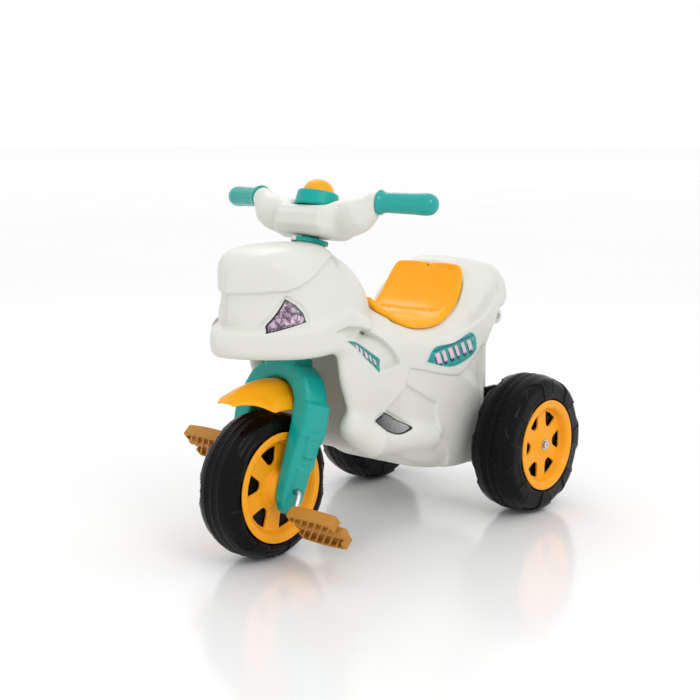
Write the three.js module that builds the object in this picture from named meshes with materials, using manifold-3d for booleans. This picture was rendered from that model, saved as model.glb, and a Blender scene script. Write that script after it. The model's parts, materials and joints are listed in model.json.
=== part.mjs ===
// Children's motorcycle-styled tricycle: blow-moulded body, saddle seat, fork steered by a handlebar,
// crank-driven front wheel and two free rear wheels. Millimetres, +Z up, front towards -Y and the
// rider's left towards +X. Shapes are laid out with the front axle at y = 0 and the floor at z = 0.
import * as THREE from "three";
import { mergeVertices } from "three/addons/utils/BufferGeometryUtils.js";
import Module from "manifold-3d";

const wasm = await Module();
wasm.setup();

// Driving dimensions
const CENTRE_Y = 270;
const GAP = 0.3;
const FRONT_RADIUS = 115;
const REAR_RADIUS = 120;
const WHEELBASE = 479;
const REAR_TRACK_HALF = 175;
const HEAD_ANGLE = THREE.MathUtils.degToRad(-14.8);
const CROWN = new THREE.Vector3(0, 64, 301);
const FRONT_AXLE_LOCAL = new THREE.Vector3(0, -14.3, -196.3);
const BODY_WALL = 6;
const BODY_CELL = 24;
const CAVITY_CELL = 30;
const STEM_RADIUS = 14;
const COLLAR_TOP = 194;
const GRIP_START = new THREE.Vector3(123, 4.4, 259);
const GRIP_END = new THREE.Vector3(216, 30.6, 263.7);
const CRANK_RADIUS = 4;
const CRANK_THROW = new THREE.Vector3(0, -28, -37);
const PEDAL_INNER = 96;
const PEDAL_TILT = THREE.MathUtils.degToRad(50);
const AXLE_RADIUS = 5;
const WHEEL_SEGMENTS = 36;
const RIM_SEGMENTS = 30;
const WINDOW_COUNT = 6;

// Surface colours, finishes and the parts that carry them
const finish = (color, roughness, metalness = 0) =>
  new THREE.MeshStandardMaterial({ color, roughness, metalness });
const WHITE = finish(0xe9e9e1, 0.38);
const TEAL = finish(0x00a89e, 0.36);
const YELLOW = finish(0xfdb01e, 0.34);
const AMBER = finish(0xc48a34, 0.5);
const BLACK = finish(0x19181a, 0.45);
const STEEL = finish(0xb9bcc0, 0.28, 1);
const LABEL = finish(0x1fa79c, 0.3);
const MESH_LABEL = finish(0x55565a, 0.3);

// Geometry helpers
function toSolid(geometry) {
  const bare = geometry.clone();
  bare.deleteAttribute("normal");
  bare.deleteAttribute("uv");
  const merged = mergeVertices(bare, 1e-4);
  const vertProperties = new Float32Array(merged.attributes.position.array);
  const triVerts = new Uint32Array(merged.index.array);
  return new wasm.Manifold(new wasm.Mesh({ numProp: 3, vertProperties, triVerts }));
}

function toGeometry(solid) {
  const mesh = solid.getMesh();
  const geometry = new THREE.BufferGeometry();
  geometry.setAttribute("position", new THREE.BufferAttribute(new Float32Array(mesh.vertProperties), 3));
  geometry.setIndex(new THREE.BufferAttribute(new Uint32Array(mesh.triVerts), 1));
  geometry.computeVertexNormals();
  return geometry;
}

function joined(solids) {
  return solids.reduce((sum, solid) => sum.add(solid));
}

function block(width, depth, height, x, y, z) {
  return new THREE.BoxGeometry(width, depth, height).translate(x, y, z);
}

function rod(radius, start, end, sides = 20, endRadius = radius) {
  const along = new THREE.Vector3().subVectors(end, start);
  const turn = new THREE.Quaternion().setFromUnitVectors(new THREE.Vector3(0, 1, 0), along.clone().normalize());
  const middle = new THREE.Vector3().addVectors(start, end).multiplyScalar(0.5);
  const geometry = new THREE.CylinderGeometry(endRadius, radius, along.length(), sides);
  return geometry.applyQuaternion(turn).translate(middle.x, middle.y, middle.z);
}

// Turns a closed [radius, x] outline about the X axis, starting half a segment off the vertical so
// that a flat facet faces straight down.
function turned(outline, segments) {
  const points = outline.map(([radius, x]) => new THREE.Vector2(radius, x));
  points.push(points[0].clone());
  const geometry = new THREE.LatheGeometry(points, segments).rotateZ(-Math.PI / 2);
  return toSolid(geometry.rotateX(Math.PI / segments));
}

function outlineShape(points) {
  return new THREE.Shape(points.map(([a, b]) => new THREE.Vector2(a, b)));
}

// Extrudes a (y, z) outline along X between two planes.
function sidePlate(points, low, high) {
  const geometry = new THREE.ExtrudeGeometry(outlineShape(points), { depth: high - low, bevelEnabled: false });
  const frame = new THREE.Matrix4().makeBasis(
    new THREE.Vector3(0, 1, 0), new THREE.Vector3(0, 0, 1), new THREE.Vector3(1, 0, 0));
  return toSolid(geometry.applyMatrix4(frame).translate(low, 0, 0));
}

// Extrudes an (x, z) outline along Y between two planes.
function frontPlate(points, low, high) {
  const geometry = new THREE.ExtrudeGeometry(outlineShape(points), { depth: high - low, bevelEnabled: false });
  return toSolid(geometry.rotateX(Math.PI / 2).translate(0, high, 0));
}

function mirrored(points) {
  return [...points, ...points.map(([x, z]) => [-x, z]).reverse()];
}

function arc(centreA, centreB, radiusA, radiusB, from, to, steps) {
  return Array.from({ length: steps + 1 }, (_, i) => {
    const angle = THREE.MathUtils.degToRad(from + ((to - from) * i) / steps);
    return [centreA + radiusA * Math.cos(angle), centreB + radiusB * Math.sin(angle)];
  });
}

// Distance fields: negative inside, millimetres
function blendMax(a, b, soft) {
  const near = Math.max(soft - Math.abs(a - b), 0) / soft;
  return Math.max(a, b) + (near * near * soft) / 4;
}

function blendMin(a, b, soft) {
  return -blendMax(-a, -b, soft);
}

function polygonDistance(points, a, b) {
  let nearest = Infinity;
  let inside = false;
  for (let i = 0, j = points.length - 1; i < points.length; j = i++) {
    const [a0, b0] = points[j];
    const [a1, b1] = points[i];
    const da = a1 - a0;
    const db = b1 - b0;
    const t = THREE.MathUtils.clamp(((a - a0) * da + (b - b0) * db) / (da * da + db * db), 0, 1);
    nearest = Math.min(nearest, Math.hypot(a - a0 - t * da, b - b0 - t * db));
    if (b0 > b !== b1 > b && a < a0 + ((b - b0) * da) / db) inside = !inside;
  }
  return inside ? -nearest : nearest;
}

function capsuleDistance(p, start, end, startRadius, endRadius) {
  const along = end.clone().sub(start);
  const t = THREE.MathUtils.clamp(p.clone().sub(start).dot(along) / along.lengthSq(), 0, 1);
  return p.distanceTo(start.clone().addScaledVector(along, t)) - THREE.MathUtils.lerp(startRadius, endRadius, t);
}

function ellipsoidDistance(p, centre, radii) {
  const scaled = p.clone().sub(centre).divide(radii).length();
  return (scaled - 1) * Math.min(radii.x, radii.y, radii.z);
}

// One closed net of quads over the zero surface of a distance field, one vertex in each cell that
// the surface crosses. Returns points, their outward directions and triangles.
function surfaceNet(distance, low, high, cell) {
  const size = [0, 1, 2].map((axis) => Math.round((high[axis] - low[axis]) / cell) + 1);
  const step = [1, size[0], size[0] * size[1]];
  const at = (i, j, k) => i + j * step[1] + k * step[2];
  const place = (i, j, k) => new THREE.Vector3(low[0] + i * cell, low[1] + j * cell, low[2] + k * cell);
  const value = new Float32Array(size[0] * size[1] * size[2]);
  const vertexOf = new Int32Array(value.length).fill(-1);
  const points = [];
  const triangles = [];
  for (let k = 0; k < size[2]; k++)
    for (let j = 0; j < size[1]; j++)
      for (let i = 0; i < size[0]; i++) value[at(i, j, k)] = distance(place(i, j, k));

  for (let k = 0; k < size[2] - 1; k++)
    for (let j = 0; j < size[1] - 1; j++)
      for (let i = 0; i < size[0] - 1; i++) {
        const sum = new THREE.Vector3();
        let crossings = 0;
        for (let axis = 0; axis < 3; axis++)
          for (let side = 0; side < 4; side++) {
            const offset = [0, 0, 0];
            offset[(axis + 1) % 3] = side & 1;
            offset[(axis + 2) % 3] = side >> 1;
            const start = [i + offset[0], j + offset[1], k + offset[2]];
            const a = value[at(...start)];
            const b = value[at(...start) + step[axis]];
            if (a < 0 === b < 0) continue;
            const point = place(...start);
            point.setComponent(axis, point.getComponent(axis) + (cell * a) / (a - b));
            sum.add(point);
            crossings++;
          }
        if (crossings === 0) continue;
        vertexOf[at(i, j, k)] = points.length;
        points.push(sum.divideScalar(crossings));
      }

  for (let k = 0; k < size[2] - 1; k++)
    for (let j = 0; j < size[1] - 1; j++)
      for (let i = 0; i < size[0] - 1; i++)
        for (let axis = 0; axis < 3; axis++) {
          const index = [i, j, k];
          if (index[(axis + 1) % 3] === 0 || index[(axis + 2) % 3] === 0) continue;
          const here = at(i, j, k);
          const a = value[here];
          const b = value[here + step[axis]];
          if (a < 0 === b < 0) continue;
          const back = step[(axis + 1) % 3];
          const down = step[(axis + 2) % 3];
          const ring = [here, here - back, here - back - down, here - down].map((n) => vertexOf[n]);
          if (a > 0) ring.reverse();
          triangles.push(ring[0], ring[1], ring[2], ring[0], ring[2], ring[3]);
        }

  const outward = points.map((p) => gradient(distance, p).normalize());
  const reach = cell / 5;
  points.forEach((p, n) => p.addScaledVector(outward[n], THREE.MathUtils.clamp(-distance(p), -reach, reach)));
  return { points, outward, triangles };
}

function gradient(distance, p) {
  const reach = 2;
  return new THREE.Vector3(...[0, 1, 2].map((axis) => {
    const ahead = p.clone();
    const behind = p.clone();
    ahead.setComponent(axis, p.getComponent(axis) + reach);
    behind.setComponent(axis, p.getComponent(axis) - reach);
    return (distance(ahead) - distance(behind)) / (2 * reach);
  }));
}

// The net moved along its outward directions by a distance, as a solid.
function netSolid(net, offset) {
  const vertProperties = new Float32Array(net.points.length * 3);
  net.points.forEach((p, n) => p.clone().addScaledVector(net.outward[n], offset).toArray(vertProperties, n * 3));
  return new wasm.Manifold(new wasm.Mesh({ numProp: 3, vertProperties, triVerts: new Uint32Array(net.triangles) }));
}

// Outlines of the body's lobes. Side outlines are (y, z), plans are (x, y) and fronts are (x, z),
// with x measured outward from the middle, so each closes well past the middle plane.
const INWARD = -200;
const HEAD_SIDE = [[-81, 405], [-80, 428], [-60, 457], [-30, 479], [10, 492], [62, 493], [110, 482],
  [150, 440], [150, 350], [-60, 350], [-76, 368]];
const HEAD_PLAN = [[INWARD, -86], [4, -84], [24, -68], [50, -42], [74, -14], [94, 14], [103, 48], [96, 82],
  [60, 112], [INWARD, 130]];
const HEAD_FRONT = [[INWARD, 340], [100, 340], [102, 400], [92, 430], [74, 461], [50, 484], [26, 494],
  [INWARD, 497]];
const LIP_SIDE = [[-99, 338], [-99, 358], [-84, 371], [0, 374], [60, 389], [110, 400], [170, 392],
  [150, 340], [60, 323], [-70, 323]];
const LIP_PLAN = [[INWARD, -98], [5, -97], [30, -76], [64, -42], [94, -12], [112, 18], [118, 60],
  [113, 120], [100, 175], [INWARD, 175]];
const TANK_CENTRE = new THREE.Vector3(0, 75, 360);
const TANK_RADII = new THREE.Vector3(102, 135, 118);
const UNDERSIDE = 330;
const LOWER_SIDE = [[66, 354], [130, 372], [205, 374], [250, 348], [300, 336], [345, 338], [378, 356],
  [404, 384], [420, 408], [470, 432], [526, 330], [522, 200], [512, 120], [496, 72], [440, 70], [380, 74],
  [300, 96], [225, 127], [165, 150], [142, 175], [124, 208], [108, 240], [92, 270], [76, 300], [64, 330]];
const LOWER_PLAN = [[INWARD, 150], [50, 150], [62, 132], [70, 96], [82, 66], [98, 62], [108, 90], [112, 210],
  [118, 300], [117, 384], [112, 430], [102, 460], [82, 488], [60, 508], [INWARD, 518]];
const LOWER_FRONT = [[INWARD, 60], [78, 70], [102, 98], [114, 150], [118, 250], [116, 330], [106, 388],
  [84, 436], [INWARD, 446]];
const TAIL_SIDE = [[395, 380], [430, 422], [463, 435], [530, 424], [606, 403], [630, 392], [660, 370],
  [670, 346], [656, 328], [616, 322], [572, 328], [520, 312], [440, 300]];
const TAIL_PLAN = [[INWARD, 380], [96, 380], [106, 430], [102, 470], [90, 510], [69, 548], [50, 584], [34, 620],
  [24, 652], [INWARD, 668]];
const EXHAUST_START = new THREE.Vector3(92, 158, 182);
const EXHAUST_END = new THREE.Vector3(100, 330, 150);

function lobe(side, plan, front, x, y, z, soft) {
  const across = plan ? polygonDistance(plan, x, y) : INWARD;
  const facing = front ? polygonDistance(front, x, z) : INWARD;
  return blendMax(blendMax(polygonDistance(side, y, z), across, soft), facing, soft);
}

function bodyDistance(p) {
  const x = Math.abs(p.x);
  const half = new THREE.Vector3(x, p.y, p.z);
  const head = lobe(HEAD_SIDE, HEAD_PLAN, HEAD_FRONT, x, p.y, p.z, 26);
  const lip = lobe(LIP_SIDE, LIP_PLAN, null, x, p.y, p.z, 24);
  const tank = blendMax(ellipsoidDistance(half, TANK_CENTRE, TANK_RADII), UNDERSIDE - p.z, 20);
  const lower = lobe(LOWER_SIDE, LOWER_PLAN, LOWER_FRONT, x, p.y, p.z, 30);
  const tail = lobe(TAIL_SIDE, TAIL_PLAN, null, x, p.y, p.z, 30);
  const exhaust = capsuleDistance(half, EXHAUST_START, EXHAUST_END, 24, 22);
  const front = blendMin(blendMin(head, lip, 8), tank, 14);
  const rear = blendMin(blendMin(lower, tail, 24), exhaust, 14);
  return blendMin(front, rear, 34);
}

// Seat: a saddle that dips between a raised nose and a raised back, draped over the body's sides.
const SEAT_HALF_WIDTH = 84;
const SEAT_THICKNESS = 9;
const SEAT_PROFILE = new THREE.SplineCurve([[206, 394], [228, 374], [262, 355], [300, 348], [340, 350],
  [372, 364], [398, 388], [414, 412], [424, 430]].map(([y, z]) => new THREE.Vector2(y, z)));
const SEAT_STATIONS = 12;
const SEAT_COLUMNS = 8;

function seatHalfWidth(t) {
  const nose = Math.sin(Math.min(t / 0.42, 1) * Math.PI / 2);
  const back = t > 0.8 ? Math.sqrt(Math.max(1 - ((t - 0.8) / 0.24) ** 2, 0.02)) : 1;
  return (52 + (SEAT_HALF_WIDTH - 52) * nose) * back;
}

// A closed slab over the seat's grid, between two heights above the seat's lower face.
function seatSlab(bottom, top, spread) {
  const layer = (height) => {
    const rows = [];
    for (let i = 0; i <= SEAT_STATIONS; i++) {
      const t = i / SEAT_STATIONS;
      const centre = SEAT_PROFILE.getPointAt(t);
      const half = seatHalfWidth(t) + spread;
      for (let j = 0; j <= SEAT_COLUMNS; j++) {
        const side = (2 * j) / SEAT_COLUMNS - 1;
        const noseLap = -14 * side * side * (1 - t) ** 2 + (t < 0.5 ? -spread : spread);
        rows.push(half * side, centre.x + noseLap, centre.y - SEAT_THICKNESS - 8 * side ** 4 + height);
      }
    }
    return rows;
  };
  const position = [...layer(bottom), ...layer(top)];
  const width = SEAT_COLUMNS + 1;
  const count = width * (SEAT_STATIONS + 1);
  const index = [];
  const quad = (a, b, c, d) => index.push(a, b, c, a, c, d);
  for (let i = 0; i < SEAT_STATIONS; i++)
    for (let j = 0; j < SEAT_COLUMNS; j++) {
      const n = i * width + j;
      quad(n, n + width, n + width + 1, n + 1);
      quad(count + n, count + n + 1, count + n + width + 1, count + n + width);
    }
  for (let i = 0; i < SEAT_STATIONS; i++) {
    const left = i * width;
    const right = left + SEAT_COLUMNS;
    quad(left, count + left, count + left + width, left + width);
    quad(right, right + width, count + right + width, count + right);
  }
  for (let j = 0; j < SEAT_COLUMNS; j++) {
    const back = SEAT_STATIONS * width + j;
    quad(j, j + 1, count + j + 1, count + j);
    quad(back, count + back, count + back + 1, back + 1);
  }
  const geometry = new THREE.BufferGeometry();
  geometry.setAttribute("position", new THREE.Float32BufferAttribute(position, 3));
  geometry.setIndex(index);
  return toSolid(geometry);
}

// The steering axis as a line in the shared layout.
const STEER_TURN = new THREE.Quaternion().setFromAxisAngle(new THREE.Vector3(1, 0, 0), HEAD_ANGLE);
function onSteeringAxis(height) {
  return new THREE.Vector3(0, 0, height).applyQuaternion(STEER_TURN).add(CROWN);
}

function bodyShell(net) {
  const tunnel = toSolid(rod(25, onSteeringAxis(9), onSteeringAxis(187), 20));
  const bore = toSolid(rod(STEM_RADIUS + 1, onSteeringAxis(-20), onSteeringAxis(200), 20));
  const axleHole = toSolid(rod(AXLE_RADIUS + 1.5, new THREE.Vector3(-150, WHEELBASE, REAR_RADIUS),
    new THREE.Vector3(150, WHEELBASE, REAR_RADIUS), 12));
  const outer = netSolid(net, 0).add(tunnel).subtract(seatSlab(-GAP, 140, GAP));
  const hollow = surfaceNet((p) => bodyDistance(p) + BODY_WALL, [-135,-138,30], [135,732,540], CAVITY_CELL);
  const cavity = netSolid(hollow, 0).subtract(seatSlab(-GAP - BODY_WALL, 140, BODY_WALL)).subtract(tunnel);
  return outer.subtract(cavity).subtract(bore).subtract(axleHole);
}

// Towing eye: a pierced tab that hangs under the tail.
function towLug(net) {
  const tab = sidePlate([[604, 350], [640, 350], ...arc(631, 310, 15, 20, 40, -140, 8), [604, 316]], -9, 9);
  const hole = toSolid(rod(6, new THREE.Vector3(-20, 632, 309), new THREE.Vector3(20, 632, 309), 16));
  return tab.subtract(netSolid(net, GAP)).subtract(hole);
}

// Printed labels follow the body's skin: a prism through the side cut from a thin skin above it.
const HEADLIGHT_LABEL = [[-13, 410], [8, 402], [2, 378], [-48, 364]];
const FLANK_LABEL = [[70, 344], [119, 327], [166, 300], [154, 281], [120, 308]];
const TAIL_LABEL = [[270, 282], [293, 304], [350, 306], [406, 317], [421, 285], [380, 268], [334, 265]];
const VENT_LABEL = [[147, 202], [182, 211], [215, 194], [242, 178], [222, 174], [195, 175], [170, 184]];

function label(skin, outline, side, innerX) {
  const outerX = 160;
  const prism = side > 0 ? sidePlate(outline, innerX, outerX) : sidePlate(outline, -outerX, -innerX);
  const pieces = prism.intersect(skin).decompose();
  return pieces.reduce((best, piece) => (piece.volume() > best.volume() ? piece : best));
}

// Tyres and rims are turned about X with x = 0 at the tyre's centre plane.
function tyre(radius, rimRadius, treadHalf, wallHalf, wellHalf) {
  const wall = 3.5;
  const hub = 16;
  const outer = [[hub, wellHalf], [rimRadius - 6, wellHalf], [rimRadius - 2, wallHalf - 4], [rimRadius + 2, wallHalf],
    [rimRadius + 12, wallHalf + 1], [radius - 7, treadHalf + 3], [radius, treadHalf - 4]];
  const inner = [[hub, wellHalf - wall], [rimRadius - 2, wellHalf - wall], [rimRadius + 3, wallHalf - wall],
    [radius - wall, treadHalf - 6]];
  const mirror = (points) => points.map(([r, x]) => [r, -x]);
  return turned([...mirror(outer), ...outer.toReversed(), ...inner, ...mirror(inner).reverse()], WHEEL_SEGMENTS);
}

function rim(outerRadius, face, depth, hubRadius, hubFace, boreRadius, windowTurn, side) {
  const wall = 3;
  const outline = [[boreRadius, hubFace], [hubRadius - 3, hubFace], [hubRadius, face - depth + 2],
    [outerRadius - 22, face - depth + 2], [outerRadius - 12, face], [outerRadius, face],
    [outerRadius, face - wall], [outerRadius - 13, face - wall], [outerRadius - 22, face - depth - wall + 2],
    [boreRadius, face - depth - wall + 2]];
  const disc = turned(outline.reverse(), RIM_SEGMENTS);
  const inner = hubRadius + 7;
  const outer = outerRadius - 20;
  const windows = Array.from({ length: WINDOW_COUNT }, (_, n) => {
    const points = [[inner + 3, -5], [inner + 10, -11], [outer, -17], [outer + 4, 0], [outer, 17], [inner + 10, 11],
      [inner + 3, 5], [inner, 0]];
    const angle = windowTurn + (n * 2 * Math.PI) / WINDOW_COUNT;
    const turnedPoints = points.map(([a, b]) =>
      [a * Math.cos(angle) - b * Math.sin(angle), a * Math.sin(angle) + b * Math.cos(angle)]);
    return sidePlate(turnedPoints, face - 60, face + 20);
  });
  const pierced = windows.reduce((sum, window) => sum.subtract(window), disc);
  return side > 0 ? pierced : toSolid(toGeometry(pierced).rotateZ(Math.PI));
}

// Fork: an arch over the wheel with two legs, steered by a stem. Local frame of the steering axis.
function fork() {
  const archOuter = [[26, 6], [27, -3], ...arc(0, -88, 77, 84, 62, 4, 5), [75, -110]];
  const archInner = [[45, -110], ...arc(0, -80, 45, 53, 4, 90, 5).slice(0, -1)];
  const arch = frontPlate(mirrored([...archOuter, ...archInner, [0, -27]].slice(0, -1)), -25, 25);
  const legSide = [[26, -96], [26, -128], [20, -134], [20, -170], [14, -178], [10, -196],
    ...arc(-14.3, -212, 22, 25, 20, -200, 8), [-36, -196], [-30, -150], [-25, -96]];
  const legs = [-1, 1].map((side) => sidePlate(legSide, side > 0 ? 46 : -70, side > 0 ? 70 : -46));
  const panels = [-1, 1].flatMap((side) => [-128, -176].map((z) =>
    toSolid(block(4, 26, 30, side * 70.5, z > -150 ? -3 : -10, z))));
  const stem = toSolid(rod(STEM_RADIUS, new THREE.Vector3(0, 0, 0), new THREE.Vector3(0, 0, 236), 20));
  const axle = FRONT_AXLE_LOCAL;
  const hole = toSolid(rod(CRANK_RADIUS + 0.6, new THREE.Vector3(-100, axle.y, axle.z),
    new THREE.Vector3(100, axle.y, axle.z), 12));
  return joined([arch, ...legs, ...panels, stem]).subtract(hole);
}

// Handlebar: a deep hollow-moulded centre block that spreads into two arms. Steering frame.
const BAR_BLOCK = { half: new THREE.Vector3(58, 36, 25), centre: new THREE.Vector3(0, 1, 222), round: 16 };
function barDistance(p) {
  const half = new THREE.Vector3(Math.abs(p.x), p.y, p.z);
  const { half: reach, centre, round } = BAR_BLOCK;
  const q = half.clone().sub(centre);
  q.set(Math.abs(q.x) - reach.x + round, Math.abs(q.y) - reach.y + round, Math.abs(q.z) - reach.z + round);
  const outside = new THREE.Vector3(Math.max(q.x, 0), Math.max(q.y, 0), Math.max(q.z, 0)).length();
  const core = outside + Math.min(Math.max(q.x, q.y, q.z), 0) - round;
  const elbow = new THREE.Vector3(92, 0, 236);
  const shoulder = capsuleDistance(half, new THREE.Vector3(56, 0, 232), elbow, 25, 25);
  const neck = capsuleDistance(half, elbow, new THREE.Vector3(118, 3, 256), 25, 18);
  return blendMin(blendMin(core, shoulder, 12), neck, 10);
}

function handlebar() {
  const net = surfaceNet(barDistance, [-144, -54, 180], [144, 54, 288], 12);
  const bore = toSolid(rod(STEM_RADIUS + 0.4, new THREE.Vector3(0, 0, 180), new THREE.Vector3(0, 0, 238), 20));
  const hornSeat = toSolid(rod(38, new THREE.Vector3(0, 2, 246.3), new THREE.Vector3(0, 2, 300), 24));
  const foot = toSolid(block(300, 200, 40, 0, 0, COLLAR_TOP + GAP - 20));
  const ends = [-1, 1].map((side) => toSolid(rod(30, gripPoint(0.0, side), gripPoint(1, side), 16)));
  const stubs = [-1, 1].map((side) => toSolid(rod(10, gripPoint(-0.12, side), gripPoint(0.8, side), 14)));
  const bar = ends.reduce((sum, end) => sum.subtract(end), netSolid(net, 0).subtract(foot).subtract(hornSeat));
  return joined([bar, ...stubs]).subtract(bore);
}

function gripPoint(t, side) {
  const point = GRIP_START.clone().lerp(GRIP_END, t);
  return new THREE.Vector3(point.x * side, point.y, point.z);
}

function grip(side) {
  const length = GRIP_START.distanceTo(GRIP_END);
  const start = GAP;
  const profile = [[10.4, start], [18.4, start], [18.8, 4], [16.6, 8], [15.6, 30], [15.6, 62], [17, 76],
    [15.5, length - 8], [9, length - 1], [0, length], [0, 0.82 * length], [10.4, 0.82 * length]];
  const outline = profile.map(([r, z]) => new THREE.Vector2(r, z));
  outline.push(outline[0].clone());
  const geometry = new THREE.LatheGeometry(outline.slice(0, -1).concat([outline[0].clone()]), 20);
  const along = gripPoint(1, side).sub(gripPoint(0, side)).normalize();
  const turn = new THREE.Quaternion().setFromUnitVectors(new THREE.Vector3(0, 1, 0), along);
  const base = gripPoint(0, side);
  return toSolid(geometry.applyQuaternion(turn).translate(base.x, base.y, base.z));
}

// Horn: a low round housing on the handlebar with a domed push button.
const HORN_Y = 2;
const HORN_BASE = 246.6;
function hornHousing() {
  const profile = [[27, 0], [36, 0], [36.5, 4], [33, 22], [31, 24], [27, 24]];
  const outline = profile.map(([r, z]) => new THREE.Vector2(r, z));
  outline.push(outline[0].clone());
  return toSolid(new THREE.LatheGeometry(outline, 24).rotateX(Math.PI / 2).translate(0, HORN_Y, HORN_BASE));
}

function hornButton() {
  const dome = arc(0, 20, 25, 24, 0, 90, 5).map(([r, z]) => new THREE.Vector2(Math.max(r, 0), z));
  dome[dome.length - 1].x = 0;
  const outline = [new THREE.Vector2(0, 5), new THREE.Vector2(26, 5), new THREE.Vector2(26, 14), ...dome];
  return toSolid(new THREE.LatheGeometry(outline, 20).rotateX(Math.PI / 2).translate(0, HORN_Y, HORN_BASE));
}

// Front mudguard: a beak-shaped shell swept about the front axle, deepest under the fork's arch.
const FENDER_FRONT = THREE.MathUtils.degToRad(123);
const FENDER_REAR = THREE.MathUtils.degToRad(31);
const FENDER_RIDGE = 165;
function frontFender() {
  const stations = 14;
  const columns = 8;
  const layer = (offset) => {
    const rows = [];
    for (let i = 0; i <= stations; i++) {
      const t = i / stations;
      const angle = THREE.MathUtils.lerp(FENDER_FRONT, FENDER_REAR, t);
      const open = Math.min(1, (t + 0.03) * 3.4) * Math.min(1, (1 - t + 0.06) * 2.6);
      const half = 42 * Math.sin((open * Math.PI) / 2);
      const drop = 40 * open * open;
      for (let j = 0; j <= columns; j++) {
        const side = (2 * j) / columns - 1;
        const radius = FENDER_RIDGE + 3 * (1 - open) + offset - drop * Math.abs(side) ** 2.2;
        rows.push(half * side, radius * Math.cos(angle), FRONT_RADIUS + radius * Math.sin(angle));
      }
    }
    return rows;
  };
  return slabGeometry(layer(-3), layer(0), stations, columns);
}

// Closed slab between two grids of points with the same number of rows and columns.
function slabGeometry(lower, upper, rows, columns) {
  const width = columns + 1;
  const count = width * (rows + 1);
  const index = [];
  const quad = (a, b, c, d) => index.push(a, c, b, a, d, c);
  for (let i = 0; i < rows; i++)
    for (let j = 0; j < columns; j++) {
      const n = i * width + j;
      quad(n, n + 1, n + width + 1, n + width);
      quad(count + n, count + n + width, count + n + width + 1, count + n + 1);
    }
  for (let i = 0; i < rows; i++) {
    const left = i * width;
    const right = left + columns;
    quad(left, left + width, count + left + width, count + left);
    quad(right, count + right, count + right + width, right + width);
  }
  for (let j = 0; j < columns; j++) {
    const last = rows * width + j;
    quad(j, count + j, count + j + 1, j + 1);
    quad(last, last + 1, count + last + 1, count + last);
  }
  const geometry = new THREE.BufferGeometry();
  geometry.setAttribute("position", new THREE.Float32BufferAttribute([...lower, ...upper], 3));
  geometry.setIndex(index);
  return toSolid(geometry);
}

// Crank: one bent rod through the front wheel with a pedal spindle at each end.
function crankAxle() {
  const knee = (side) => new THREE.Vector3(side * 86, side * CRANK_THROW.y, side * CRANK_THROW.z);
  const corners = [knee(-1).setX(-188), knee(-1), new THREE.Vector3(-76, 0, 0), new THREE.Vector3(76, 0, 0),
    knee(1), knee(1).setX(188)];
  const lengths = corners.slice(1).map((corner, n) => toSolid(rod(CRANK_RADIUS, corners[n], corner, 12)));
  const bends = corners.slice(1, -1).map((corner) =>
    toSolid(new THREE.SphereGeometry(CRANK_RADIUS, 12, 8).translate(corner.x, corner.y, corner.z)));
  return joined([...lengths, ...bends]);
}

// Pedal: a crowned tread block on a spindle tube, cored from below between its ribs. Spindle along X.
function pedal(side) {
  const plan = [[0, -29], [22, -32], [44, -33], [66, -32], [88, -29], [88, 29], [66, 32], [44, 33], [22, 32],
    [0, 29]];
  const upright = (points, low, high) => toSolid(new THREE.ExtrudeGeometry(outlineShape(points),
    { depth: high - low, bevelEnabled: false }).translate(0, 0, low));
  const tube = toSolid(rod(8, new THREE.Vector3(0, 0, 0), new THREE.Vector3(98, 0, 0), 16));
  const pockets = [6, 23, 40, 55].flatMap((x) => [
    [[x, -10], [x + 13, -10], [x + 27, -26], [x + 14, -26]],
    [[x + 14, 10], [x, 26], [x + 13, 26], [x + 27, 10]],
  ]).flatMap((outline) => [upright(outline, 1.5, 20), upright(outline, -20, -1.5)]);
  const bore = toSolid(rod(CRANK_RADIUS + 0.5, new THREE.Vector3(-5, 0, 0), new THREE.Vector3(92.5, 0, 0), 12));
  const block = pockets.reduce((sum, pocket) => sum.subtract(pocket), upright(plan, -10, 10));
  const geometry = toGeometry(joined([block, tube]).subtract(bore));
  return toSolid(geometry.rotateZ(side > 0 ? 0 : Math.PI).rotateX(-PEDAL_TILT));
}

function steeringCollar() {
  const top = onSteeringAxis(COLLAR_TOP);
  const bottom = onSteeringAxis(187 + GAP);
  const bore = toSolid(rod(STEM_RADIUS + 1, onSteeringAxis(180), onSteeringAxis(200), 20));
  return toSolid(rod(30, bottom, top, 28)).subtract(bore);
}

// Upright plate on the body's rear corner that holds the rear axle.
function axleBracket(net, side) {
  const outline = [[454, 211], [494, 211], [496, 150], [494, 104], [464, 104], [454, 150]];
  const plate = sidePlate(outline, Math.min(side * 98, side * 106), Math.max(side * 98, side * 106));
  const hole = toSolid(rod(AXLE_RADIUS + GAP, new THREE.Vector3(side * 90, WHEELBASE, REAR_RADIUS),
    new THREE.Vector3(side * 115, WHEELBASE, REAR_RADIUS), 14));
  return plate.subtract(netSolid(net, GAP)).subtract(hole);
}

function hubScrew() {
  const profile = [[0, 0], [3, 0], [3, 8], [6.5, 8], [6.5, 10.5], [4.5, 12.5], [0, 13]];
  const outline = profile.map(([r, z]) => new THREE.Vector2(r, z));
  const cross = [block(1.6, 6, 3, 0, 0, 12), block(6, 1.6, 3, 0, 0, 12)].map(toSolid);
  const screw = toSolid(new THREE.LatheGeometry(outline, 18).rotateX(Math.PI / 2));
  return screw.subtract(cross[0]).subtract(cross[1]);
}

function ring(inner, outer, thickness, segments) {
  const points = [[inner, 0], [outer, 0], [outer, thickness], [inner, thickness], [inner, 0]];
  return toSolid(new THREE.LatheGeometry(points.map(([r, z]) => new THREE.Vector2(r, z)), segments)
    .rotateX(Math.PI / 2));
}

// Assembly
const tricycle = new THREE.Group();
const layout = new THREE.Group();
const steering = new THREE.Group();
layout.position.y = -CENTRE_Y;
steering.position.copy(CROWN);
steering.quaternion.copy(STEER_TURN);
tricycle.add(layout);
layout.add(steering);

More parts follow.
